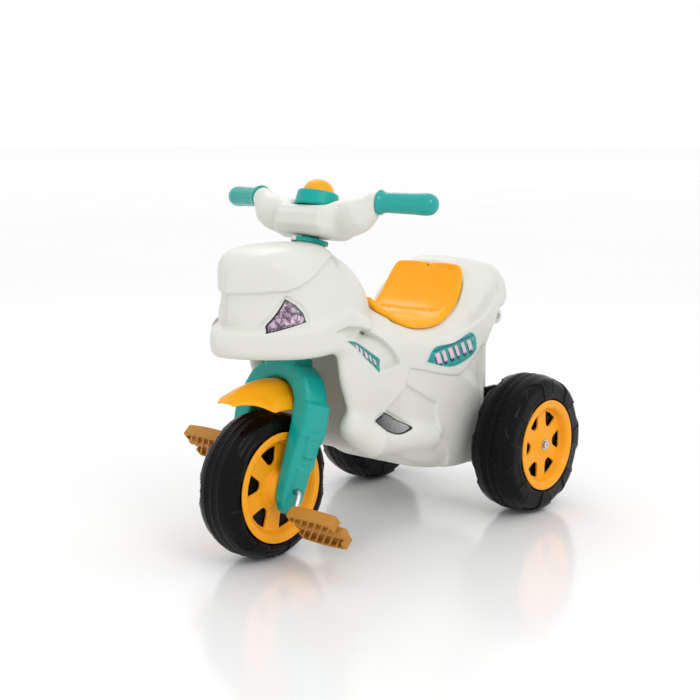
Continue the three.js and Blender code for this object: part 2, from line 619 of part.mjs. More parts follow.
function place(parent, name, solid, material, x = 0, y = 0, z = 0) {
  const mesh = new THREE.Mesh(toGeometry(solid), material);
  mesh.name = name;
  mesh.position.set(x, y, z);
  parent.add(mesh);
  return mesh;
}

function buildBody() {
  const net = surfaceNet(bodyDistance, [-132, -132, 36], [132, 708, 540], BODY_CELL);
  const skin = netSolid(net, 1.2).subtract(netSolid(net, 0.4));
  place(layout, "main_body", bodyShell(net), WHITE);
  place(layout, "tow_lug", towLug(net), WHITE);
  place(layout, "seat", seatSlab(0, SEAT_THICKNESS, 0), YELLOW);
  place(layout, "steering_collar", steeringCollar(), TEAL);
  for (const [side, word] of [[1, "left"], [-1, "right"]]) {
    place(layout, `axle_bracket_${word}`, axleBracket(net, side), BLACK);
    place(layout, `headlight_label_${word}`, label(skin, HEADLIGHT_LABEL, side, 25), MESH_LABEL);
    place(layout, `flank_label_${word}`, label(skin, FLANK_LABEL, side, 82), LABEL);
    place(layout, `tail_label_${word}`, label(skin, TAIL_LABEL, side, 82), LABEL);
    place(layout, `vent_label_${word}`, label(skin, VENT_LABEL, side, 82), MESH_LABEL);
  }
}

function buildSteering() {
  place(steering, "fork", fork(), TEAL);
  place(steering, "handlebar", handlebar(), WHITE);
  place(steering, "grip_left", grip(1), TEAL);
  place(steering, "grip_right", grip(-1), TEAL);
  place(steering, "horn_housing", hornHousing(), TEAL);
  place(steering, "horn_button", hornButton(), YELLOW);
  place(layout, "front_fender", frontFender(), YELLOW);
}

function buildFrontWheel() {
  const rimTurn = THREE.MathUtils.degToRad(-13);
  place(layout, "front_tyre", tyre(FRONT_RADIUS / Math.cos(Math.PI / WHEEL_SEGMENTS), 88.6, 30.4, 38.5, 24),
    BLACK, 0, 0, FRONT_RADIUS);
  for (const [side, word] of [[1, "left"], [-1, "right"]]) {
    place(layout, `front_rim_${word}`, rim(85.5, 39.5, 11, 24, 43.5, CRANK_RADIUS + 0.4, rimTurn, side),
      YELLOW, 0, 0, FRONT_RADIUS);
    place(layout, `pedal_${word}`, pedal(side), AMBER,
      side * PEDAL_INNER, side * CRANK_THROW.y, FRONT_RADIUS + side * CRANK_THROW.z);
  }
  place(layout, "crank_axle", crankAxle(), STEEL, 0, 0, FRONT_RADIUS);
}

function buildRearWheels() {
  const radius = REAR_RADIUS / Math.cos(Math.PI / WHEEL_SEGMENTS);
  const end = REAR_TRACK_HALF + 31;
  place(layout, "rear_axle", toSolid(rod(AXLE_RADIUS, new THREE.Vector3(-end, 0, 0), new THREE.Vector3(end, 0, 0), 14)),
    STEEL, 0, WHEELBASE, REAR_RADIUS);
  for (const [side, word] of [[1, "left"], [-1, "right"]]) {
    const x = side * REAR_TRACK_HALF;
    const outward = side > 0 ? Math.PI / 2 : -Math.PI / 2;
    place(layout, `rear_tyre_${word}`, tyre(radius, 79.7, 34.5, 42, 24), BLACK, x, WHEELBASE, REAR_RADIUS);
    place(layout, `rear_rim_${word}`, rim(76.5, 44.5, 14, 20, 37, AXLE_RADIUS + 0.4, 0, side), YELLOW,
      x, WHEELBASE, REAR_RADIUS);
    const washer = place(layout, `hub_washer_${word}`, ring(3.4, 9, 1.5, 18), STEEL,
      side * (REAR_TRACK_HALF + 37 + GAP), WHEELBASE, REAR_RADIUS);
    const screw = place(layout, `hub_screw_${word}`, hubScrew(), STEEL,
      side * (REAR_TRACK_HALF + 31 + 2 * GAP), WHEELBASE, REAR_RADIUS);
    washer.rotation.y = outward;
    screw.rotation.y = outward;
  }
}

buildBody();
buildSteering();
buildFrontWheel();
buildRearWheels();

export default tricycle;
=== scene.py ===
"""Children's motorcycle-styled tricycle: the visible surfaces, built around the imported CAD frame.

Shapes are written in millimetres in the CAD layout: y = 0 at the front axle, z = 0 on the floor,
front towards -Y. Steered pieces are written in the steering frame, whose z runs up the stem.
"""
import json
import math

import bpy
import numpy as np
from mathutils import Matrix, Vector
from mathutils.bvhtree import BVHTree


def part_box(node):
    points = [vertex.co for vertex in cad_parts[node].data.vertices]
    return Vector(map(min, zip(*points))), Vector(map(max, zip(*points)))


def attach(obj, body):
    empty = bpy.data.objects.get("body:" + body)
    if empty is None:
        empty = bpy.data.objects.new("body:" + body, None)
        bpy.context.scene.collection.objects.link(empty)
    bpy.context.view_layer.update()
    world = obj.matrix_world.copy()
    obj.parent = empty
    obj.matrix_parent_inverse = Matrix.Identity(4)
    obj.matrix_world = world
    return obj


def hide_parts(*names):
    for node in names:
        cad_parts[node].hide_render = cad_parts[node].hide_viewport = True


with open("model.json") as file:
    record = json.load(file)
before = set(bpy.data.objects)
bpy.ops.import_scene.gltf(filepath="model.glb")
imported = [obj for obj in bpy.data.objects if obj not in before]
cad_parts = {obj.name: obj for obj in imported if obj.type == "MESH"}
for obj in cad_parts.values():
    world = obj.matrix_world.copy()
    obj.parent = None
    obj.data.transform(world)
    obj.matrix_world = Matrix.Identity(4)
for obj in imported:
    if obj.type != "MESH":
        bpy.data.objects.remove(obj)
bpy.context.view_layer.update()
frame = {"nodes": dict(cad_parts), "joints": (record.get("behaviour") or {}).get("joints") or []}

MM = 0.001
RECORD_JOINTS = {joint["name"]: joint for joint in frame["joints"]}


def box_centre(node):
    low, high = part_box(node)
    return (low + high) / 2


# ---------------------------------------------------------------- places taken from the frame
FRONT_AXLE = box_centre("front_tyre")
REAR_AXLE = box_centre("rear_tyre_left")
LAYOUT_Y = FRONT_AXLE.y
WHEEL_R = (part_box("front_tyre")[1].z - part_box("front_tyre")[0].z) / 2 / MM
REAR_WHEEL_R = (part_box("rear_tyre_left")[1].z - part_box("rear_tyre_left")[0].z) / 2 / MM
STEER = RECORD_JOINTS["steering_turn"]
STEER_ORIGIN = np.array(STEER["pos_m"])
STEER_UP = np.array(STEER["axis"]) / np.linalg.norm(STEER["axis"])
STEER_SIDE = np.array([1.0, 0.0, 0.0])
STEER_BACK = np.cross(STEER_UP, STEER_SIDE)


def in_layout(p):
    return np.asarray(p, float) * MM + np.array([0.0, LAYOUT_Y, 0.0])


def in_steering(p):
    p = np.atleast_2d(np.asarray(p, float)) * MM
    return STEER_ORIGIN + p[:, :1] * STEER_SIDE + p[:, 1:2] * STEER_BACK + p[:, 2:3] * STEER_UP


def at_point(centre):
    origin = np.array(centre)
    return lambda p: np.atleast_2d(np.asarray(p, float)) * MM + origin


# ---------------------------------------------------------------- camera
CAMERA_LAYOUT = (1405.3, -1451.0, 667.0)
CAMERA_YAW = math.radians(-40.23)
CAMERA_PITCH = math.radians(-9.60)
CAMERA_ROLL = math.radians(-0.24)
CAMERA_LENS = 68.5


def make_camera():
    data = bpy.data.cameras.new("camera")
    data.sensor_width = 36
    data.lens = CAMERA_LENS
    data.clip_end = 50
    camera = bpy.data.objects.new("camera", data)
    bpy.context.scene.collection.objects.link(camera)
    forward = Vector((math.sin(CAMERA_YAW) * math.cos(CAMERA_PITCH),
                      math.cos(CAMERA_YAW) * math.cos(CAMERA_PITCH), math.sin(CAMERA_PITCH)))
    right = forward.cross(Vector((0, 0, 1))).normalized()
    up = right.cross(forward)
    side = right * math.cos(CAMERA_ROLL) + up * math.sin(CAMERA_ROLL)
    top = up * math.cos(CAMERA_ROLL) - right * math.sin(CAMERA_ROLL)
    turn = Matrix((side, top, -forward)).transposed().to_4x4()
    camera.matrix_world = Matrix.Translation(Vector(in_layout(CAMERA_LAYOUT))) @ turn
    bpy.context.scene.camera = camera
    return camera


make_camera()


# ---------------------------------------------------------------- distance fields, in millimetres
def blend_max(a, b, soft):
    near = np.maximum(soft - np.abs(a - b), 0) / soft
    return np.maximum(a, b) + near * near * soft / 4


def blend_min(a, b, soft):
    return -blend_max(-a, -b, soft)


def smoothstep(low, high, value):
    t = np.clip((value - low) / (high - low), 0, 1)
    return t * t * (3 - 2 * t)


def curve_through(points, steps=6):
    """A closed Catmull-Rom curve through the points."""
    points = np.array(points, float)
    before, after, beyond = np.roll(points, 1, 0), np.roll(points, -1, 0), np.roll(points, -2, 0)
    rows = []
    for step in range(steps):
        t = step / steps
        rows.append(0.5 * (2 * points + (after - before) * t
                           + (2 * before - 5 * points + 4 * after - beyond) * t ** 2
                           + (3 * points - before - 3 * after + beyond) * t ** 3))
    return np.stack(rows, 1).reshape(-1, 2)


def spaced_along(points, count):
    """Points at even spacing along an open Catmull-Rom curve through the given ones."""
    padded = np.vstack([2 * points[0] - points[1], points, 2 * points[-1] - points[-2]])
    rows = []
    for n in range(1, len(padded) - 2):
        before, here, after, beyond = padded[n - 1:n + 3]
        for t in np.arange(12) / 12:
            rows.append(0.5 * (2 * here + (after - before) * t
                               + (2 * before - 5 * here + 4 * after - beyond) * t ** 2
                               + (3 * here - before - 3 * after + beyond) * t ** 3))
    rows = np.vstack([rows, points[-1]])
    length = np.concatenate([[0], np.cumsum(np.linalg.norm(np.diff(rows, axis=0), axis=1))])
    even = np.linspace(0, length[-1], count)
    return np.stack([np.interp(even, length, rows[:, n]) for n in range(rows.shape[1])], 1)


def loop_distance(loop, a, b):
    """Signed distance from points to a closed loop, negative inside."""
    nearest = np.full(a.shape, np.inf)
    inside = np.zeros(a.shape, bool)
    for (a0, b0), (a1, b1) in zip(np.roll(loop, 1, 0), loop):
        da, db = a1 - a0, b1 - b0
        length = da * da + db * db
        if length < 1e-12:
            continue
        t = np.clip(((a - a0) * da + (b - b0) * db) / length, 0, 1)
        nearest = np.minimum(nearest, (a - a0 - t * da) ** 2 + (b - b0 - t * db) ** 2)
        if db != 0:
            inside ^= ((b0 > b) != (b1 > b)) & (a < a0 + (b - b0) * da / db)
    return np.where(inside, -1, 1) * np.sqrt(nearest)


def blurred(grid, sigma):
    if sigma <= 0:
        return grid
    reach = int(3 * sigma) + 1
    kernel = np.exp(-0.5 * (np.arange(-reach, reach + 1) / sigma) ** 2)
    kernel /= kernel.sum()
    for axis in (0, 1):
        padded = np.pad(grid, [(reach, reach) if n == axis else (0, 0) for n in (0, 1)], mode="reflect",
                        reflect_type="odd")
        total = np.zeros_like(grid)
        for n, weight in enumerate(kernel):
            part = [slice(None), slice(None)]
            part[axis] = slice(n, n + grid.shape[axis])
            total += weight * padded[tuple(part)]
        grid = total
    return grid


class Outline:
    """Distance to a closed outline in a plane, sampled on a fine grid and softened at its corners."""

    def __init__(self, points, soft=3.0, curved=True, step=2.0, low=None, high=None, margin=46):
        points = np.array(points, float)
        loop = curve_through(points) if curved else points
        self.low = (loop.min(0) if low is None else np.array(low, float)) - margin
        high = (loop.max(0) if high is None else np.array(high, float)) + margin
        self.step = step
        self.size = np.ceil((high - self.low) / step).astype(int) + 1
        a, b = np.meshgrid(*[self.low[n] + step * np.arange(self.size[n]) for n in (0, 1)], indexing="ij")
        self.grid = blurred(loop_distance(loop, a, b), soft / step)

    def __call__(self, a, b):
        u = np.clip((a - self.low[0]) / self.step, 0, self.size[0] - 1.001)
        v = np.clip((b - self.low[1]) / self.step, 0, self.size[1] - 1.001)
        i, j = u.astype(int), v.astype(int)
        u, v = u - i, v - j
        g = self.grid
        return ((g[i, j] * (1 - u) + g[i + 1, j] * u) * (1 - v)
                + (g[i, j + 1] * (1 - u) + g[i + 1, j + 1] * u) * v)


def capsule(x, y, z, start, end, start_r, end_r):
    start, end = np.array(start, float), np.array(end, float)
    along = end - start
    t = np.clip(((x - start[0]) * along[0] + (y - start[1]) * along[1] + (z - start[2]) * along[2])
                / (along @ along), 0, 1)
    gap = np.sqrt((x - start[0] - t * along[0]) ** 2 + (y - start[1] - t * along[1]) ** 2
                  + (z - start[2] - t * along[2]) ** 2)
    return gap - (start_r + (end_r - start_r) * t)


def round_box(x, y, z, centre, half, corner):
    parts = [np.abs(v - c) - h + corner for v, c, h in zip((x, y, z), centre, half)]
    outside = np.sqrt(sum(np.maximum(p, 0) ** 2 for p in parts))
    return outside + np.minimum(np.maximum(np.maximum(parts[0], parts[1]), parts[2]), 0) - corner


def ellipsoid(x, y, z, centre, radii):
    scaled = np.sqrt(sum(((v - c) / r) ** 2 for v, c, r in zip((x, y, z), centre, radii)))
    return (scaled - 1) * min(radii)


def axis_offsets(axis):
    first, second = (axis + 1) % 3, (axis + 2) % 3
    for da in (0, 1):
        for db in (0, 1):
            offset = [0, 0, 0]
            offset[first], offset[second] = da, db
            yield offset


def surface_net(field, low, high, cell, refine=2):
    """Quads over the zero surface of a field, with one vertex in each cell that the surface crosses."""
    axes = [np.arange(low[n], high[n] + cell / 2, cell) for n in range(3)]
    value = field(axes[0][:, None, None], axes[1][None, :, None], axes[2][None, None, :]).astype(np.float32)
    shape = np.array(value.shape)
    cells = tuple(shape - 1)
    count = np.zeros(cells, np.uint8)
    total = np.zeros(cells + (3,), np.float32)
    inside = value < 0
    crossings = []
    for axis in range(3):
        front = [slice(None)] * 3
        back = [slice(None)] * 3
        front[axis], back[axis] = slice(0, -1), slice(1, None)
        a, b = value[tuple(front)], value[tuple(back)]
        cross = inside[tuple(front)] != inside[tuple(back)]
        index = np.argwhere(cross)
        a, b = a[cross], b[cross]
        position = index.astype(np.float32)
        position[:, axis] += a / (a - b)
        crossings.append((index, a < 0))
        for offset in axis_offsets(axis):
            cell_index = index - offset
            fits = np.all((cell_index >= 0) & (cell_index < np.array(cells)), axis=1)
            key = tuple(cell_index[fits].T)
            np.add.at(count, key, 1)
            np.add.at(total, key, position[fits])
    used = count > 0
    number = np.full(cells, -1, np.int64)
    number[used] = np.arange(used.sum())
    points = np.array(low) + cell * total[used] / count[used][:, None]
    quads = []
    for axis, (index, starts_inside) in enumerate(crossings):
        first, second = (axis + 1) % 3, (axis + 2) % 3
        ring = []
        for da, db in ((0, 0), (1, 0), (1, 1), (0, 1)):
            corner = index.copy()
            corner[:, first] -= da
            corner[:, second] -= db
            ring.append(corner)
        fits = np.ones(len(index), bool)
        for corner in ring:
            fits &= np.all((corner >= 0) & (corner < np.array(cells)), axis=1)
        face = np.stack([number[tuple(corner[fits].T)] for corner in ring], 1)
        flip = ~starts_inside[fits]
        face[flip] = face[flip][:, ::-1]
        quads.append(face)
    quads = np.concatenate(quads)
    for _ in range(refine):
        points = pulled_to_surface(field, points, cell)
    return points, quads


def pulled_to_surface(field, points, cell):
    x, y, z = points.T
    reach = 0.6
    slope = np.stack([(field(x + reach, y, z) - field(x - reach, y, z)),
                      (field(x, y + reach, z) - field(x, y - reach, z)),
                      (field(x, y, z + reach) - field(x, y, z - reach))], 1) / (2 * reach)
    steep = np.maximum((slope ** 2).sum(1), 0.05)
    move = -(field(x, y, z) / steep)[:, None] * slope
    length = np.linalg.norm(move, axis=1, keepdims=True)
    return points + move * np.minimum(1, 0.5 * cell / np.maximum(length, 1e-9))


# ---------------------------------------------------------------- mesh building
def mesh_object(name, points, faces, smooth=True):
    mesh = bpy.data.meshes.new(name)
    points = np.asarray(points, np.float32)
    faces = np.asarray(faces, np.int32)
    mesh.vertices.add(len(points))
    mesh.vertices.foreach_set("co", points.ravel())
    corners = faces.shape[1]
    mesh.loops.add(faces.size)
    mesh.loops.foreach_set("vertex_index", faces.ravel())
    mesh.polygons.add(len(faces))
    mesh.polygons.foreach_set("loop_start", np.arange(0, faces.size, corners, dtype=np.int32))
    mesh.polygons.foreach_set("use_smooth", np.full(len(faces), smooth))
    mesh.update(calc_edges=True)
    mesh.validate()
    obj = bpy.data.objects.new(name, mesh)
    bpy.context.scene.collection.objects.link(obj)
    return obj


def net_object(name, field, low, high, cell, place, refine=2):
    points, quads = surface_net(field, low, high, cell, refine)
    return mesh_object(name, place(points), quads)


def grid_faces(rows, columns, wrap_rows=False, wrap_columns=False, flip=False):
    """Quads between neighbouring rows and columns of a grid of points stored row by row."""
    last_row = rows if wrap_rows else rows - 1
    last_column = columns if wrap_columns else columns - 1
    i, j = np.meshgrid(np.arange(last_row), np.arange(last_column), indexing="ij")
    i, j = i.ravel(), j.ravel()
    i2, j2 = (i + 1) % rows, (j + 1) % columns
    quads = np.stack([i * columns + j, i2 * columns + j, i2 * columns + j2, i * columns + j2], 1)
    return quads[:, ::-1] if flip else quads


def dress(obj, material, body, slot, *nodes):
    obj.data.materials.clear()
    obj.data.materials.append(material)
    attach(obj, body)
    if nodes:
        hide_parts(*nodes)
    return obj


# ---------------------------------------------------------------- materials
def new_material(name):
    material = bpy.data.materials.new(name)
    material.use_nodes = True
    tree = material.node_tree
    return material, tree, tree.nodes["Principled BSDF"]


def add(tree, kind, **values):
    node = tree.nodes.new(kind)
    for key, value in values.items():
        setattr(node, key, value)
    return node


def object_position(tree, scale=(1, 1, 1), turn=(0, 0, 0)):
    coordinates = add(tree, "ShaderNodeTexCoord")
    mapping = add(tree, "ShaderNodeMapping")
    mapping.inputs["Scale"].default_value = scale
    mapping.inputs["Rotation"].default_value = turn
    tree.links.new(coordinates.outputs["Object"], mapping.inputs["Vector"])
    return mapping.outputs["Vector"]


def noise(tree, vector, scale, detail=3.0, roughness=0.55):
    node = add(tree, "ShaderNodeTexNoise")
    node.inputs["Scale"].default_value = scale
    node.inputs["Detail"].default_value = detail
    node.inputs["Roughness"].default_value = roughness
    tree.links.new(vector, node.inputs["Vector"])
    return node.outputs["Fac"]


def ramp(tree, value, stops):
    node = add(tree, "ShaderNodeValToRGB")
    elements = node.color_ramp.elements
    while len(elements) < len(stops):
        elements.new(0.5)
    for element, (position, color) in zip(elements, stops):
        element.position = position
        element.color = (*color, 1)
    tree.links.new(value, node.inputs["Fac"])
    return node.outputs["Color"]


def spread(tree, value, low, high, from_low=0.3, from_high=0.7):
    node = add(tree, "ShaderNodeMapRange")
    node.inputs["From Min"].default_value = from_low
    node.inputs["From Max"].default_value = from_high
    node.inputs["To Min"].default_value = low
    node.inputs["To Max"].default_value = high
    tree.links.new(value, node.inputs["Value"])
    return node.outputs["Result"]


def bump(tree, height, strength, distance, normal=None):
    node = add(tree, "ShaderNodeBump")
    node.inputs["Strength"].default_value = strength
    node.inputs["Distance"].default_value = distance
    tree.links.new(height, node.inputs["Height"])
    if normal is not None:
        tree.links.new(normal, node.inputs["Normal"])
    return node.outputs["Normal"]


def linear(color):
    """A screen colour, 0 to 255, as the linear values that a shader takes."""
    return tuple(((c / 255 + 0.055) / 1.055) ** 2.4 if c > 10 else c / 255 / 12.92 for c in color)


def shifted(color, factor):
    return tuple(min(1.0, c * factor) for c in color)


def seam_line(tree):
    """The parting line left by the two halves of the mould, down the middle of the piece."""
    split = add(tree, "ShaderNodeSeparateXYZ")
    tree.links.new(object_position(tree), split.inputs["Vector"])
    size = add(tree, "ShaderNodeMath", operation="ABSOLUTE")
    tree.links.new(split.outputs["X"], size.inputs[0])
    return spread(tree, size.outputs["Value"], 1.0, 0.0, 0.0, 0.0009)


def plastic(name, color, gloss, grain=0.04, grain_scale=900, flow=0.02, sheen_spread=0.06, variation=0.05,
            specular=0.28, seam=False):
    """Moulded plastic: slow shade drift, a fine skin texture, faint flow waviness and uneven gloss."""
    material, tree, shader = new_material(name)
    where = object_position(tree)
    drift = noise(tree, where, 6.0, 2.0)
    tone = ramp(tree, drift,
                [(0.3, shifted(color, 1 - variation)), (0.72, shifted(color, 1 + variation / 2))])
    tree.links.new(tone, shader.inputs["Base Color"])
    patches = noise(tree, where, 22.0, 4.0)
    tree.links.new(spread(tree, patches, gloss - sheen_spread / 2, gloss + sheen_spread),
                   shader.inputs["Roughness"])
    skin = noise(tree, where, grain_scale, 2.0)
    waves = noise(tree, where, 26.0, 1.0)
    first = bump(tree, waves, flow, 0.004)
    if seam:
        first = bump(tree, seam_line(tree), 0.6, 0.0005, first)
    tree.links.new(bump(tree, skin, grain, 0.0004, first), shader.inputs["Normal"])
    shader.inputs["Specular IOR Level"].default_value = specular
    return material


WHITE = plastic("white_polyethylene", linear((221, 221, 213)), 0.34, grain=0.03, flow=0.03, variation=0.012,
                seam=True)
TEAL = plastic("teal_plastic", linear((0, 164, 153)), 0.34, grain=0.05, variation=0.06)
YELLOW = plastic("yellow_plastic", linear((252, 168, 20)), 0.34, grain=0.04, variation=0.05)
AMBER = plastic("amber_plastic", linear((186, 128, 46)), 0.5, grain=0.12, grain_scale=700, variation=0.1)
GLOSSY_YELLOW = plastic("glossy_yellow_plastic", linear((254, 172, 8)), 0.2, grain=0.03, variation=0.05,
                        specular=0.26)
SATIN_TEAL = plastic("satin_teal_plastic", linear((0, 162, 152)), 0.26, grain=0.05, variation=0.06,
                     specular=0.4)
GLOSSY_TEAL = plastic("glossy_teal_plastic", linear((0, 160, 152)), 0.16, grain=0.02, variation=0.05,
                      specular=0.5)
BLACK = plastic("black_plastic", linear((7, 6, 8)), 0.27, grain=0.06, grain_scale=800, flow=0.04,
                variation=0.15,
                specular=0.12)


def plated_steel():
    material, tree, shader = new_material("zinc_plated_steel")
    where = object_position(tree)
    shade = noise(tree, where, 160.0, 4.0)
    tree.links.new(ramp(tree, shade, [(0.3, (0.46, 0.47, 0.5)), (0.7, (0.72, 0.73, 0.74))]),
                   shader.inputs["Base Color"])
    shader.inputs["Metallic"].default_value = 1.0
    tree.links.new(spread(tree, noise(tree, where, 420.0), 0.22, 0.42), shader.inputs["Roughness"])
    scratches = noise(tree, object_position(tree, (40, 900, 900)), 1.0, 2.0)
    tree.links.new(bump(tree, scratches, 0.08, 0.0003), shader.inputs["Normal"])
    return material


STEEL = plated_steel()


# ---------------------------------------------------------------- white body
INWARD = -200
HEAD_SIDE = Outline([(-74, 362), (-79, 385), (-81, 404), (-80, 426), (-61, 456), (-32, 478), (6, 491),
                     (60, 493), (108, 482), (150, 440), (150, 350), (-30, 350), (-66, 356)], soft=4)
HEAD_PLAN = Outline([(INWARD, -83), (-20, -86), (2, -81), (22, -66), (50, -42), (74, -14), (94, 14),
                     (103, 46), (101, 76), (92, 94), (70, 104), (INWARD, 130)], soft=4)
HEAD_FRONT = Outline([(INWARD, 330), (102, 330), (104, 392), (95, 430), (78, 461), (54, 483), (26, 493),
                      (-20, 495), (INWARD, 495)], soft=5)
LIP_SIDE = Outline([(-101, 338), (-106, 352), (-97, 365), (-60, 370), (10, 374), (56, 386), (92, 390),
                    (128, 374), (146, 350), (120, 336), (60, 324), (-20, 321), (-82, 325)], soft=3)
LIP_PLAN = Outline([(INWARD, -104), (-20, -108), (6, -101), (30, -80), (64, -45), (92, -14), (104, 16),
                    (108, 54), (106, 100), (94, 138), (INWARD, 150)], soft=5)
LIP_ROOT = ((69, 125, 336), (28, 37, 16))    # solid under the lip's rear end
LOWER_SIDE = Outline([(60, 358), (100, 372), (150, 376), (205, 374), (250, 348), (300, 336), (345, 338),
                      (378, 356), (404, 384), (420, 408), (470, 432), (520, 330), (516, 200), (506, 120),
                      (496, 78), (478, 68), (440, 67), (380, 72), (300, 92), (225, 118), (160, 138),
                      (118, 160), (96, 188), (84, 220), (76, 256), (66, 296), (56, 332)], soft=4)
LOWER_PLAN = Outline([(INWARD, 152), (47, 152), (69, 120), (82, 84), (91, 62), (102, 54), (110, 82),
                      (114, 150), (118, 300), (117, 380), (112, 428), (101, 458), (82, 486), (60, 506),
                      (30, 514), (INWARD, 516)], soft=4)
LOWER_FRONT = Outline([(INWARD, 56), (74, 66), (100, 92), (113, 150), (118, 250), (116, 330), (106, 380),
                       (84, 420), (INWARD, 446)], soft=5)
TAIL_SIDE = Outline([(395, 380), (430, 420), (463, 433), (530, 422), (602, 401), (630, 390), (654, 370),
                     (663, 347), (650, 329), (616, 323), (572, 329), (520, 312), (440, 300)], soft=3)
TAIL_PLAN = Outline([(INWARD, 380), (96, 380), (106, 430), (102, 470), (90, 508), (70, 545), (50, 582),
                     (33, 616), (20, 644), (0, 656), (INWARD, 658)], soft=5)
TANK_CENTRE, TANK_RADII, UNDERSIDE = (0, 77, 362), (103, 136, 118), 330
EXHAUST_PATH = ((90, 106, 198), (94, 156, 170), (101, 300, 150))


# Reliefs pressed into the skin, as outlines in the side view.
BELOW_CREASE = Outline([(-150, 300), (-150, 420), (-60, 421), (-14, 424), (30, 444), (66, 461), (92, 470),
                        (108, 440), (108, 330), (60, 300)], soft=1, curved=False)
HEADLIGHT_DIP = Outline([(-14, 417), (3, 402), (9, 386), (8, 374), (-60, 358)], soft=1.2, curved=False)
CRESCENT = Outline([(52, 358), (80, 363), (110, 358), (142, 347), (167, 333), (186, 315), (198, 300),
                    (205, 288), (168, 285), (150, 279), (131, 296), (108, 319),
                    (64, 345)], soft=1.2, curved=False)
CRESCENT_FOOT = Outline([(30, 352), (62, 345), (108, 319), (149, 281), (149, 190), (30, 190)], curved=False)
FLANK_HOLLOW = Outline([(228, 279), (262, 272), (300, 261), (338, 252), (365, 248), (400, 259),
                        (430, 272), (447, 282), (450, 60), (150, 60), (150, 140), (178, 217), (205, 236),
                        (221, 250)], soft=1.2, curved=False)
FLANK_PANEL = Outline([(223, 252), (307, 207), (314, 155), (354, 108), (372, 40), (470, 40), (470, 330),
                       (223, 330)], soft=1.5, curved=False)
REAR_FACET = Outline([(370, 243), (398, 262), (431, 284), (449, 290), (449, 194)], soft=1, curved=False)
FACET_RIDGE = Outline([(330, 266), (372, 243), (449, 193), (449, 90), (330, 90)], curved=False)
BAND_TOP = Outline([(222, 332), (240, 323), (307, 318), (391, 323), (440, 340), (520, 372), (520, 470),
                    (222, 470)], soft=2, curved=False)
VENT_DIP = Outline([(143, 203), (160, 212), (184, 215), (217, 197), (248, 178), (222, 171), (195, 172),
                    (168, 181)], soft=1.2, curved=False)


def pressed(outline, y, z, depth, edge=2.0):
    return depth * smoothstep(edge, -edge, outline(y, z))


def flank_relief(y, z):
    """Depth of the recesses on the lower body's flank."""
    hollow = pressed(FLANK_HOLLOW, y, z, 8.0)
    hollow = hollow - np.minimum(hollow, pressed(FLANK_PANEL, y, z, 5.0, 2.5))
    slope = smoothstep(0, 30, FACET_RIDGE(y, z))
    facet = pressed(REAR_FACET, y, z, 1.0, 1.5) * 7.0 * slope
    crescent = pressed(CRESCENT, y, z, 1.0, 1.5) * 10.0 * smoothstep(0, 26, CRESCENT_FOOT(y, z))
    band = BAND_TOP(y, z)
    shoulder = 3.0 * smoothstep(2, -2, band) * (1 - smoothstep(4, 34, -band))
    return hollow + facet + crescent + shoulder + pressed(VENT_DIP, y, z, 4.0)


def tucked(y, z):
    """The knee panel's lower end draws in above the exhaust lip."""
    low = smoothstep(262, 196, z + 0.25 * (y - 170))
    return 7 * low * smoothstep(262, 214, y)


def seat_edge(y):
    """Height of the body's shoulder along the seat's side."""
    return np.interp(y, SEAT_EDGE_Y, SEAT_EDGE_Z)


SEAT_EDGE_Y = (60, 110, 150, 180, 203, 225, 248, 275, 301, 344, 370, 390, 405, 418, 440, 470, 520, 660)
SEAT_EDGE_Z = (380, 366, 354, 348, 348, 346, 343, 339, 338, 340, 349, 363, 380, 393, 406, 410, 404, 396)
NECK_TOP = 187


def neck_field(x, y, z):
    along = (y - 64) * STEER_UP[1] + (z - 301) * STEER_UP[2]
    across = (y - 64) * STEER_UP[2] - (z - 301) * STEER_UP[1]
    return blend_max(np.sqrt(x * x + across ** 2) - 25.5, np.abs(along - NECK_TOP + 50) - 50, 2)


# ---------------------------------------------------------------- seat shape, shared with the body's pocket
SEAT_TOP = np.array([(206, 394), (216, 382), (228, 373), (262, 355), (300, 348), (340, 350), (372, 364),
                     (398, 388),
                     (414, 412), (424, 430)], float)
SEAT_PLAN = Outline([(INWARD, 190), (44, 192), (56, 198), (66, 214), (76, 240), (82, 275), (84, 330),
                     (84, 372), (84, 398), (80, 415), (68, 428), (44, 434), (INWARD, 435)], soft=2.5)
SEAT_THICKNESS = 10.5


def seat_curve(offset):
    line = spaced_along(SEAT_TOP, 60)
    tangent = np.gradient(line, axis=0)
    tangent /= np.linalg.norm(tangent, axis=1, keepdims=True)
    return line + offset * np.stack([-tangent[:, 1], tangent[:, 0]], 1)


SEAT_SLAB = Outline(np.vstack([seat_curve(0), seat_curve(-SEAT_THICKNESS)[::-1]]), soft=1, curved=False,
                    step=1.5)
SEAT_ROOM = Outline(np.vstack([seat_curve(-SEAT_THICKNESS + 0.5), [(470, 500), (190, 500)]]), soft=1,
                    curved=False,
                    step=1.5, margin=60)


def seat_sag(x, y):
    side = np.minimum(x / 84, 1.1)
    return 8 * side ** 4, 14 * side ** 2 * np.clip((300 - y) / 100, 0, 1) ** 2


def lobe(side, plan, front, x, y, z, soft):
    shape = blend_max(side(y, z), plan(x, y), soft)
    return shape if front is None else blend_max(shape, front(x, z), soft)


